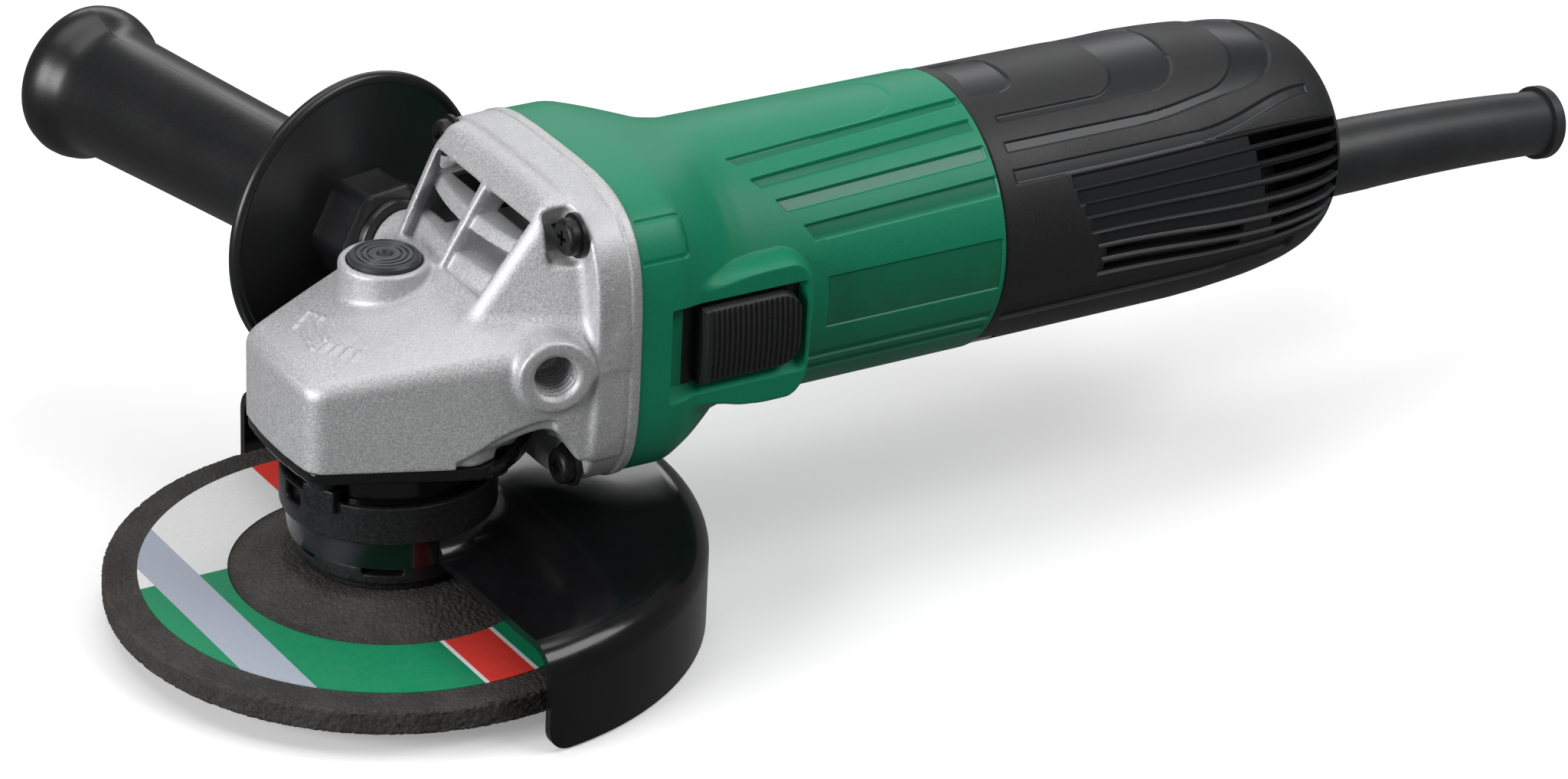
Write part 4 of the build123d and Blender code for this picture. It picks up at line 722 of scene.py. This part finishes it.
def cover_relief(x, angle, base):
    near = folded(angle)
    inlay = 0.45 * fade(inlays(x, np.radians(near) * base), -0.35, 0.15) * (x < 230)
    channel = channel_share(x, near, 2.5, 0.9)
    front = 154.6 + 0.19 * (near - 60)
    along = smooth_step(x, front, front + 1.2) * fade(x, 228, 236)
    block = 0.22 * plateau(near, 59.0, 111.5, 0.8) * along
    low_slot = plateau(arc_length(base, near - 117), -2.6, 2.6, 0.5) * plateau(x, 140, 222, 0.8)
    seat = np.hypot(x - SEAT_X, arc_length(base, near - SEAT_ANGLE))
    seats = (base - SEAT_R) * fade(seat, 3.6, 3.9)
    return np.maximum.reduce([inlay, channel, block, low_slot, seats])


def cover_finish(x, angle):
    near = folded(angle)
    base = np.interp(x, COVER_X, COVER_RADII)
    inside = fade(inlays(x, np.radians(near) * base), -0.3, 0.2) * (x < 230)
    return np.maximum(inside, channel_share(x, near, 2.3, 0.7))


def cover_open(x, angle):
    """All channels are open round the tail, and the two lowest further forwards as well."""
    near = folded(angle)
    tail = channel_share(x, near, 2.1, 0.02, [opening for *_, opening in CHANNELS])
    low = channel_share(x, near, 1.9, 0.02, [CHANNELS_END + 10] * 5 + [166.0] * 2)
    return (tail > 0.5) | ((low > 0.5) & (x < 205))


barrel_shell(
    "cover_shell", "rear_cover", BLACK, COVER_X, 900, 2.4,
    cover_radii, cover_relief, cover_finish, cover_open, cover_lean,
)


def outward(origin, out, side):
    """A place whose z axis points out and whose x axis points to the side."""
    return Matrix.Translation(origin) @ Matrix((side, out.cross(side), out)).transposed().to_4x4()


def cover_screw(angle):
    """A low slotted head under the joint, on the shell's radius at this angle."""
    out = Vector((0, -math.sin(math.radians(angle)), math.cos(math.radians(angle))))
    place = outward(Vector((SEAT_X, 0, AXIS_Z)) + out * (SEAT_R - 6.2), out, Vector((1, 0, 0)))
    profile = [
        (0.05, 0), (1.95, 0), (1.95, 6.2), (3.3, 6.2), (3.4, 6.35), (3.4, 6.8), (3.1, 7.1), (1.3, 7.25),
        (1.2, 6.5), (0.05, 6.5),
    ]
    return turned(f"cover_screw_{angle}", profile, STEEL, place, 48)


stand_for(cover_screw(SEAT_ANGLE), "rear_cover_screws")
second_screw = cover_screw(360 - SEAT_ANGLE)
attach(second_screw, "housing")


# ---------------------------------------------------------------- castings
class Field:
    """Signed distances on a grid of points, negative inside, built up by soft unions and cuts."""

    def __init__(self, low, high, pitch):
        self.low, self.pitch = np.array(low, np.float32), pitch
        axes = [np.arange(a, b + pitch, pitch, dtype=np.float32) for a, b in zip(low, high)]
        self.x, self.y, self.z = np.meshgrid(*axes, indexing="ij", sparse=True)
        self.value = np.full([len(a) for a in axes], 1e3, np.float32)

    def add(self, other, soft):
        self.value = -soft_max(-self.value, -other, soft)

    def cut(self, other, soft):
        self.value = soft_max(self.value, -other, soft)

    def drill(self, radius, center, axis, low, high):
        """Cuts a round hole along a main axis, from low to high."""
        along = (self.x, self.y, self.z)[axis]
        self.cut(np.maximum(tube(self, radius, center, axis), span(along, low, high)), 0)

    def surface(self):
        """Points and quads of the zero surface: one point in each cell that it crosses."""
        f = self.value
        inside = f < 0
        count = sum(
            inside[i:f.shape[0] - 1 + i, j:f.shape[1] - 1 + j, k:f.shape[2] - 1 + k].astype(np.int8)
            for i in (0, 1) for j in (0, 1) for k in (0, 1)
        )
        cells = np.argwhere((count > 0) & (count < 8))
        at = {c: f[tuple((cells + c).T)] for c in np.ndindex(2, 2, 2)}
        total, crossings = np.zeros(cells.shape), np.zeros(len(cells))
        for start in np.ndindex(2, 2, 2):
            for axis in range(3):
                if start[axis]:
                    continue
                end = tuple(c + (n == axis) for n, c in enumerate(start))
                a, b = at[start], at[end]
                crosses = (a < 0) != (b < 0)
                share = np.where(crosses, a / np.where(crosses, a - b, 1), 0)
                point = np.array(start, float)[None, :] + share[:, None] * np.eye(3)[axis]
                total += point * crosses[:, None]
                crossings += crosses
        points = (cells + total / crossings[:, None]) * self.pitch + self.low
        number = np.full(count.shape, -1, np.int64)
        number[tuple(cells.T)] = np.arange(len(cells))
        quads = []
        for axis in range(3):
            b, c = (axis + 1) % 3, (axis + 2) % 3
            ahead = [slice(None)] * 3
            behind = list(ahead)
            ahead[axis], behind[axis] = slice(1, None), slice(None, -1)
            here, there = inside[tuple(behind)], inside[tuple(ahead)]
            for order, mask in ((1, here & ~there), (-1, ~here & there)):
                edge = np.argwhere(mask)
                across = edge[:, [b, c]]
                edge = edge[((across > 0) & (across < np.array(number.shape)[[b, c]])).all(1)]
                corners = []
                for back in ((1, 1), (0, 1), (0, 0), (1, 0)):
                    cell = edge.copy()
                    cell[:, [b, c]] -= back
                    corners.append(number[tuple(cell.T)])
                quads.append(np.stack(corners, -1)[:, ::order])
        quads = np.concatenate(quads)
        return points, quads[(quads >= 0).all(1)]


def soft_max(a, b, soft):
    """The larger of two distances, rounded over about `soft` mm where they meet."""
    if soft <= 0:
        return np.maximum(a, b)
    near = np.clip(soft - np.abs(a - b), 0, None)
    return np.maximum(a, b) + near * near / (4 * soft)


def tube(f, radius, center, axis):
    """Distance to an endless cylinder along a main axis through `center`."""
    others = [(value, c) for n, (value, c) in enumerate(zip((f.x, f.y, f.z), center)) if n != axis]
    return np.hypot(others[0][0] - others[0][1], others[1][0] - others[1][1]) - radius


def span(value, low, high):
    return np.maximum(low - value, value - high)


SPINDLE, MOTOR = (0, 0, 0), (0, 0, AXIS_Z)  # a point on each axis
# the nose's half width over x: two straight stretches between three stations
NOSE_PLAN = ((-26.8, 16.8), (17.0, 34.3), (34.0, 37.0))
DECK_Z, DECK_SLOPE, DECK_CROWN = 71.4, 0.276, 160.0
VENT_FOOT, VENT_TILT = (9.5, 73.9), math.radians(31.6)
VENT_SLOTS = ((79.7, 84.7), (87.5, 92.5))
HOOD_TOP = 99.4
BOSS, BOSS_TILT = (20.6, 36.8, 64.4), math.radians(12.9)
THREAD_R, THREAD_DEPTH, THREAD_PITCH = 4.25, 0.55, 1.5
BUTTON = (2.5, 7.8)
FLANGE_X = 40.0
CASE_SCREWS = [(y * 28.1, AXIS_Z + z * 27.2) for y in (-1, 1) for z in (-1, 1)]
GLAND_SCREWS = ((-22.0, 12.2), (-22.0, -12.2), (13.5, 22.5), (13.5, -22.5))
# height of the arch over the guard at stations along x
ARCH_X = (-8, -4, 3, 9, 14, 18, 21, 23.5, 25.5, 27.5, 29.5)
ARCH_Z = (40, 42.7, 44.6, 46.7, 48.9, 50.4, 50.7, 49.6, 47.0, 42.5, 36.0)
# the turning arrow's strokes in plan: its open head and the two edges of its curved shaft
ARROW = (
    ((-18.1, 6.3), (-19.6, 6.7), (-14.6, 9.8), (-13.8, 4.7), (-15.3, 4.2)),
    ((-18.1, 6.3), (-19.8, 1.2), (-20.6, -4.2)),
    ((-15.3, 4.2), (-16.7, 0.2), (-17.2, -3.7)),
)


def nose_sides(f):
    """Distance to the side planes over the nose's plan."""
    stretches = []
    for (x0, half0), (x1, half1) in zip(NOSE_PLAN, NOSE_PLAN[1:]):
        slope = (half1 - half0) / (x1 - x0)
        stretches.append((np.abs(f.y) - half0 - slope * (f.x - x0)) / math.hypot(1, slope))
    return soft_max(*stretches, 3.0)


def deck_distance(f):
    crown = f.y**2 / DECK_CROWN
    steep = np.sqrt(1 + DECK_SLOPE**2 + (2 * f.y / DECK_CROWN) ** 2)
    return (f.z - DECK_Z - DECK_SLOPE * f.x + crown) / steep


def vent_depth(f):
    """Distance in front of the leaning vent face, and the height up it."""
    dx, dz = f.x - VENT_FOOT[0], f.z - VENT_FOOT[1]
    s, c = math.sin(VENT_TILT), math.cos(VENT_TILT)
    return dz * s - dx * c, dx * s + dz * c


def facet(f, *corners):
    """Distance to the plane through three points of the +Y side, and its mirror image, positive outside."""
    a, b, c = (np.array(corner, float) for corner in corners)
    normal = np.cross(b - a, c - a)
    normal /= np.linalg.norm(normal)
    middle = np.array((20.0, 0, 70))
    if normal @ (a - middle) < 0:
        normal = -normal
    return (f.x - a[0]) * normal[0] + (np.abs(f.y) - a[1]) * normal[1] + (f.z - a[2]) * normal[2]


def flank_distance(f):
    """The leaning facet beside the vents, down to the flange."""
    return facet(f, (9.4, 19.5, 73.7), (24.0, 24.2, 97.5), (32.5, 38.0, 62.0))


def hood_distance(f, inset=0.0):
    """The hood behind the vents: leaning face, flat top, a bevel and a leaning flank on either side."""
    front, _ = vent_depth(f)
    body = soft_max(front + inset, f.z - HOOD_TOP + inset, 3.4)
    bevel = facet(f, (24.0, 23.2, 97.8), (31.0, 24.0, HOOD_TOP), (31.0, 37.5, 80.0))
    side = soft_max(flank_distance(f) + inset, bevel + inset, 3.0)
    return soft_max(body, side, 2.2)


def barrel_distance(f, half_w, half_h):
    """Distance to a rounded square about the motor axis, as the flange has."""
    power = 3.8
    y, z = np.abs(f.y) / half_w, np.abs(f.z - AXIS_Z) / half_h
    return ((y**power + z**power) ** (1 / power) - 1) * min(half_w, half_h)


def boss_axes(f, sign):
    """Distance along a handle boss's thread from its face, and from its axis."""
    dx, dy, dz = f.x - BOSS[0], sign * f.y - BOSS[1], f.z - BOSS[2]
    along = -math.sin(BOSS_TILT) * dx + math.cos(BOSS_TILT) * dy
    across = np.sqrt(np.maximum(dx**2 + dy**2 + dz**2 - along**2, 0))
    return along, across


def stroke(f, points, width):
    """Distance in plan to a line through points."""
    best = None
    for (x0, y0), (x1, y1) in zip(points, points[1:]):
        dx, dy = x1 - x0, y1 - y0
        share = np.clip(((f.x - x0) * dx + (f.y - y0) * dy) / (dx * dx + dy * dy), 0, 1)
        d = np.hypot(f.x - x0 - share * dx, f.y - y0 - share * dy)
        best = d if best is None else np.minimum(best, d)
    return best - width / 2


def turn_mark(f):
    """The raised turning arrow on the deck, with four dashes behind its shaft."""
    dashes = [((-19.7 + 1.4 * k, -6.2 - 2.4 * k), (-16.9 + 1.2 * k, -5.1 - 2.3 * k)) for k in range(4)]
    return np.minimum.reduce([stroke(f, line, 0.75) for line in (*ARROW, *dashes)])


def pocket_flare(f):
    """How much wider a screw pocket is than at its floor."""
    return 0.12 * np.clip(29.5 - f.x, 0, 6.0)


def add_nose(f):
    """The nose under its deck, arched over the guard; the gland's seat stays."""
    sides = nose_sides(f)
    bow = f.x + 26.8 + 1.4 * (1 - (f.y / 17) ** 2)
    plan = soft_max(sides, -bow, 3.0)
    nose = soft_max(np.maximum(plan, f.x - 36), deck_distance(f), 3.0)
    nose = soft_max(nose, 42.6 - f.z, 0.5)
    f.add(np.maximum(nose, barrel_distance(f, 37.9, 34.9)), 0)
    rise = np.pad(np.interp(f.x.ravel(), ARCH_X, ARCH_Z), 6, mode="edge")
    rise = np.convolve(rise, np.ones(13) / 13, "valid").astype(np.float32)[:, None, None]
    bevel_top = rise + 2.6 * smooth_step(f.x, 2, 12)
    shaved = np.maximum(f.z - bevel_top, np.maximum(2 - f.x, f.x - 22)) + 0 * f.y
    f.cut(np.maximum(shaved, -sides - 1.3), 0.8)
    under = np.maximum((f.z - rise) * 0.9, np.maximum(-6 - f.x, f.x - 29.4))
    f.cut(np.maximum(under, -tube(f, 29.2, SPINDLE, 2)), 0.8)


def add_hood_and_flange(f):
    hood = np.maximum(hood_distance(f), np.maximum(f.x - 36, 65 - f.z))
    f.add(soft_max(hood, barrel_distance(f, 37.6, 34.6), 1.0), 3.0)
    barrel = barrel_distance(f, 38.0, 35.0)
    square_rim = np.maximum(barrel, f.x - FLANGE_X)
    f.value = np.where(f.x > FLANGE_X - 2, np.minimum(f.value, square_rim), f.value)
    f.add(soft_max(barrel, span(f.x, 29.8, FLANGE_X), 1.2), 1.6)


def add_bosses(f):
    """The two handle bosses with their threads, and the lock button's."""
    for sign in (-1, 1):
        along, across = boss_axes(f, sign)
        f.add(soft_max(across - 8.3 + 0.06 * along, np.maximum(along, -15 - along), 0.9), 1.6)
        f.cut(np.maximum(across - THREAD_R, -13 - along), 0.2)
        f.cut(np.maximum(across - 5.6 - along, -4 - along), 0.2)
        turns = 0.5 + 0.5 * np.cos(2 * np.pi * along / THREAD_PITCH)
        f.cut(np.maximum(across - THREAD_R - THREAD_DEPTH * turns, -12 - along), 0.1)
    middle = (*BUTTON, 0)
    f.add(soft_max(tube(f, 10.1, middle, 2), span(f.z, 60, 77.0), 0.9), 1.6)
    f.cut(np.maximum(tube(f, 8.35, middle, 2), span(f.z, 69.0, 90)), 0.3)
    f.drill(2.1, middle, 2, 55, 80)


def cut_pockets(f):
    """Corner pockets for the screws, open to the front, with flared walls."""
    for y, z in CASE_SCREWS:
        pocket = tube(f, 6.2, (0, y, z), 0) - pocket_flare(f)
        reach = 23.8 if z > AXIS_Z else 12.0
        f.cut(soft_max(pocket, span(f.x, reach, 29.5), 1.6), 0.9)
        f.drill(2.2, (0, y, z), 0, 0, 42)


def cut_vents(f):
    """Recesses between three ribs with a bowed floor, and slots through that floor to the air room."""
    front, up = vent_depth(f)
    away = np.abs(f.y)
    wall = flank_distance(f) + 2.4
    bays = np.maximum(span(up, 3.6, 23.4), np.maximum(1.25 - away, wall))
    floor_depth = 1.5 + f.y**2 / 170
    recess = soft_max(bays, -front - floor_depth, 0.7)
    f.cut(np.maximum(recess, -front - 9), 0.8)
    for low, high in VENT_SLOTS:
        slot = np.maximum(span(f.z, low, high), np.maximum(1.3 - away, wall + 0.3))
        f.cut(np.maximum(slot, -front - 10), 0.5)


def cut_inside(f):
    """Air room, gear room, pinion tunnel, bearing seat, lock bore and screw holes."""
    front, _ = vent_depth(f)
    room = np.maximum(np.maximum(hood_distance(f, 3.2), front + 6.4), 76.5 - f.z)
    room = np.maximum(room, f.x - 31.5)
    back = np.maximum(barrel_distance(f, 33.5, 30.5), span(f.x, 31.0, 42))
    room = np.minimum(room, back)
    room = np.maximum(room, -np.maximum(tube(f, 19.6, MOTOR, 0), f.x - 36))
    for y, z in CASE_SCREWS:
        post = tube(f, 0, (0, y, z), 0)
        room = np.maximum(room, -np.maximum(post - 8.6 - pocket_flare(f), f.x - 31.2))
        room = np.maximum(room, 4.6 - post)
    f.cut(room, 0)
    f.drill(20.5, SPINDLE, 2, 0, 61.5)
    f.drill(4.6, SPINDLE, 2, 0, 67.4)
    f.drill(8.2, MOTOR, 0, 8.4, 30)
    f.drill(16.0, MOTOR, 0, 26.0, 60)
    for x, y in GLAND_SCREWS:
        f.drill(2.1, (x, y, 0), 2, 0, 53)


def cast_case():
    """The gear case: everything meets everything else in the soft fillets of a die casting."""
    f = Field((-29.6, -40.2, 28.6), (41.0, 40.2, 103.0), 0.42)
    for step in (add_nose, add_hood_and_flange, add_bosses, cut_pockets, cut_vents, cut_inside):
        step(f)
    deck = deck_distance(f)
    f.add(soft_max(turn_mark(f), np.maximum(deck - 0.6, -0.5 - deck), 0.2), 0.15)
    stand_for(quad_mesh("gear_case_casting", *f.surface(), CAST, 70), "gear_case")


cast_case()
recast("packing_gland", "gland_casting", 0.5, 3, PAINT)
recast("guard_clamp", "guard_clamp_band", 0.35, 3, DARK_STEEL)
recast("wheel_washer", "wheel_washer_forged", 0.3, 3, DARK_STEEL)
recast("wheel_nut", "wheel_nut_forged", 0.3, 2, DARK_STEEL)


# ---------------------------------------------------------------- wheel
def wheel_profile():
    """(radius, height) points close enough together to carry the grit's roughness."""
    corners = [
        (11.12, 4.6), (24.5, 4.6), (35.8, 0.15), (62.0, 0.15), (62.5, 0.7), (62.5, 5.4), (62.0, 5.95),
        (34.9, 5.95), (33.0, 6.3), (25.0, 9.9), (23.4, 10.55), (11.12, 10.55), (11.12, 4.6),
    ]
    points = []
    for (r0, z0), (r1, z1) in zip(corners, corners[1:]):
        count = max(2, int(math.hypot(r1 - r0, z1 - z0) / 0.55))
        points += [(r0 + (r1 - r0) * k / count, z0 + (z1 - z0) * k / count) for k in range(count)]
    return points


def rough_wheel(radius, height, angle):
    """Breaks the rim and the bare ring up like bonded grit, and leaves the label's seat and the bore flat."""
    angle = np.broadcast_to(angle, radius.shape)
    rough = np.empty(radius.shape)
    for index in np.ndindex(radius.shape):
        r, h, a = radius[index], height[index], angle[index]
        at = Vector((r * math.cos(a), r * math.sin(a), h * 1.2)) * 0.95
        rough[index] = noise.fractal(at, 1.0, 2.0, 3)
    rim = smooth_step(radius, 61.2, 62.3)
    hub = fade(radius, 33.0, 34.4) * smooth_step(radius, 12, 14)
    bare = smooth_step(radius, 55.0, 55.8) + hub
    out = -np.abs(rough) * 0.75 * rim
    up = (rough * 0.11 - 0.05) * np.clip(bare, 0, 1) * np.where(height > 3, 1, -1)
    return radius + out, height + up


wheel = turned(
    "grit_wheel", wheel_profile(), SLOT_MATERIALS["abrasive"], Matrix.Identity(4), 720, 50, rough_wheel,
)
stand_for(wheel, "grinding_wheel")


# ---------------------------------------------------------------- side handle
HANDLE_OUT = Vector((-math.sin(BOSS_TILT), math.cos(BOSS_TILT), 0))
HANDLE_PLACE = outward(BOSS, HANDLE_OUT, Vector((0, 0, 1)))


def handle_profile():
    """(radius, distance from the boss): the nose, the disc with a rolled rim, the grip and its flare."""
    disc_at, end = 13.9, 118.8
    nose = [(0.3, 0.35), (9.2, 0.35), (9.8, 0.7), (10.0, 1.3), (10.0, 12.2), (11.0, 13.2), (13.6, 13.6)]
    disc = [
        (16.5, 13.8), (30.0, 14.1), (32.9, 14.15), (33.3, 13.7), (33.9, 13.4),
        *arc((33.8, disc_at + 1.1), 1.6, -85, 85, 10), (33.0, 16.7), (32.6, 16.7), (30.0, 16.75),
        (20.0, 16.9),
    ]
    grip = [
        (17.2, 17.4), (15.6, 18.1), (14.3, 19.6), (13.8, 22.3), (13.8, 28), (13.9, 38), (14.2, 53),
        (14.5, 68), (14.8, 82), (15.1, 94), (15.3, 102), (15.55, 105.0), (16.2, 107.0), (17.2, 108.6),
        (18.2, 110.6), (18.7, 112.8), (18.75, 114.4), (18.3, 116.2), (17.0, 117.6), (14.0, 118.5),
        (9.0, end), (0.3, end),
    ]
    return nose + disc + grip


def handle_ripples(radius, height, angle):
    """Two faint mould lines along the grip."""
    line = np.exp(-((np.abs(np.sin(angle)) / 0.012) ** 2)) * (height > 20) * (height < 116)
    return radius + 0.05 * line, height


grip = turned("side_handle_grip", handle_profile(), HANDLE_BLACK, HANDLE_PLACE, 240, wobble=handle_ripples)
stand_for(grip, "side_handle")

# half widths across the flats and heights of the hexagonal nose under the disc, with a bevelled front
HEXAGON = ((10.3, 2.2), (11.3, 2.7), (11.9, 3.6), (11.9, 10.6), (12.3, 14.2))
HEXAGON_CORNER = 1.21  # how far its rounded corners stand out past the flats


def hexagonal(radius, height, angle):
    """Turns half widths across the flats into the radii of a hexagon with rounded corners."""
    from_flat = (angle + np.pi / 6) % (np.pi / 3) - np.pi / 6
    return np.minimum(radius / np.cos(from_flat), radius + HEXAGON_CORNER), height


hexagon = turned("handle_hexagon", HEXAGON, HANDLE_BLACK, HANDLE_PLACE, 96, 30, hexagonal)
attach(hexagon, "housing")


# ---------------------------------------------------------------- lock button
def button_profile():
    """A rubber cap with three grooves and a dimple."""
    base, top = 73.1, 78.3
    points = [(0.2, base), (7.9, base), (8.0, 74.0), (8.0, 76.9), (7.85, 77.6), (7.4, 78.1), (6.9, 78.2)]
    for ring in (6.35, 5.0, 3.7):
        points += [
            (ring + 0.25, top - 0.08), (ring + 0.1, top - 0.38), (ring - 0.1, top - 0.38),
            (ring - 0.25, top - 0.04),
        ]
    return points + [(2.6, top - 0.05), (2.2, top), (1.9, top - 0.1), (1.4, top - 0.75), (0.2, top - 0.9)]


button = turned("lock_cap", button_profile(), RUBBER, Matrix.Translation((*BUTTON, 0)), 128, 28)
stand_for(button, "lock_button")


# ---------------------------------------------------------------- switch knob
def ribbed_knob():
    """The thumb piece as a height field over its outline, with upright ribs and a raised front lip."""
    nx, nz = 200, 60
    xs, zs = np.linspace(KNOB_X, KNOB_END, nx), np.linspace(KNOB_LOW, KNOB_HIGH, nz)
    x, z = np.meshgrid(xs, zs, indexing="ij")
    middle, tall = (KNOB_LOW + KNOB_HIGH) / 2, (KNOB_HIGH - KNOB_LOW) / 2
    rounded = 5.5
    rear = np.clip((x - (KNOB_END - rounded)) / rounded, 0, 1)
    half = tall - 6.4 * (1 - np.sqrt(1 - rear**2))
    z = middle + (z - middle) / tall * half
    edge = rounded_box(x, z, (KNOB_X + KNOB_END) / 2, middle, (KNOB_END - KNOB_X) / 2, half, 0.4)
    rib_pitch, rib_height = 1.32, 0.28
    ribs = rib_height * np.cos((x - KNOB_X - 3.0) * 2 * np.pi / rib_pitch)
    ribs *= plateau(x, KNOB_X + 2.6, KNOB_END - 1.6, 0.5) * plateau(z - middle, 1.3 - half, half - 1.3, 0.4)
    crown = 37.7 - 0.010 * (z - middle) ** 2
    lip = 0.45 * fade(x, KNOB_X + 0.9, KNOB_X + 2.4)
    y = -(crown + lip + ribs - 1.3 * smooth_step(edge, -1.0, 0.0) ** 2)
    front = np.stack([x, y, z], -1).reshape(-1, 3)
    back = np.stack([x, np.full(x.shape, -FLOOR_Y - 0.15), z], -1).reshape(-1, 3)
    faces = [quad[::-1] for quad in grid_faces(nx, nz, wrap=False)]
    shift = nx * nz
    faces += [tuple(v + shift for v in quad[::-1]) for quad in faces]
    number = np.arange(shift).reshape(nx, nz)
    border = [*number[:, 0], *number[-1, 1:], *number[-2::-1, -1], *number[0, -2:0:-1]]
    for a, b in zip(border, border[1:] + border[:1]):
        faces.append((a, b, b + shift, a + shift))
    stand_for(new_piece("switch_knob", np.concatenate([front, back]), faces, BLACK, 50), "slide_knob")


ribbed_knob()


# ---------------------------------------------------------------- floor, light and camera
def area_light(name, place, target, size, power):
    data = bpy.data.lights.new(name, "AREA")
    data.shape, data.size, data.size_y = "RECTANGLE", size[0], size[1]
    data.energy = power
    light = placed(name, data)
    light.location = place
    light.rotation_euler = (Vector(target) - Vector(place)).to_track_quat("-Z", "Y").to_euler()


def studio():
    """A pale floor just under the object, a dim white world and four soft lights."""
    low, half = CAD_BOX[0][2] - 0.0005, 6.0
    corners = [(-half, -half, low), (half, -half, low), (half, half, low), (-half, half, low)]
    mesh = bpy.data.meshes.new("floor")
    mesh.from_pydata(corners, [], [(0, 1, 2, 3)])
    floor = placed("floor", mesh)
    paper = Shader("pale_floor", (0.93, 0.93, 0.93), 0.7, **{
        "Emission Color": (1, 1, 1, 1), "Emission Strength": 0.22,
    })
    paper.bump(paper.noise(3), 0.02, 0.2)
    give(floor, paper.material)
    floor.visible_diffuse = False
    floor.visible_glossy = False
    world = bpy.data.worlds.new("studio")
    world.use_nodes = True
    background = world.node_tree.nodes["Background"].inputs
    background["Color"].default_value = (1, 1, 1, 1)
    background["Strength"].default_value = 0.16
    bpy.context.scene.world = world
    middle = (0.1, 0.0, 0.06)
    area_light("overhead", (0.05, 0.25, 1.1), middle, (1.2, 0.7), 5.6)
    area_light("front_left", (-1.15, -0.15, 0.42), middle, (0.7, 0.6), 14)
    area_light("over_shoulder", (0.68, -0.55, 0.95), middle, (0.9, 0.45), 7)
    area_light("back_strip", (0.6, 0.9, 0.55), middle, (1.0, 0.25), 2.2)


def studio_camera():
    """A long lens, above the wheel's front and slightly rolled."""
    azimuth, elevation, roll = math.radians(-32.46), math.radians(27.04), math.radians(3.01)
    turn = Matrix.Rotation(azimuth, 4, "Z") @ Matrix.Rotation(math.pi / 2 - elevation, 4, "X")
    turn = turn @ Matrix.Rotation(roll, 4, "Z")
    aim = Vector((0.060, 0.0, 0.045))
    right_up_back = Vector((0.03406, -0.00796, 1.0417))
    data = bpy.data.cameras.new("camera")
    data.sensor_width, data.lens = 36.0, 107.5
    data.clip_start, data.clip_end = 0.05, 50
    camera = placed("camera", data)
    camera.matrix_world = Matrix.Translation(aim) @ turn @ Matrix.Translation(right_up_back)
    bpy.context.scene.camera = camera


studio()
studio_camera()
bpy.context.scene.view_settings.view_transform = "Standard"
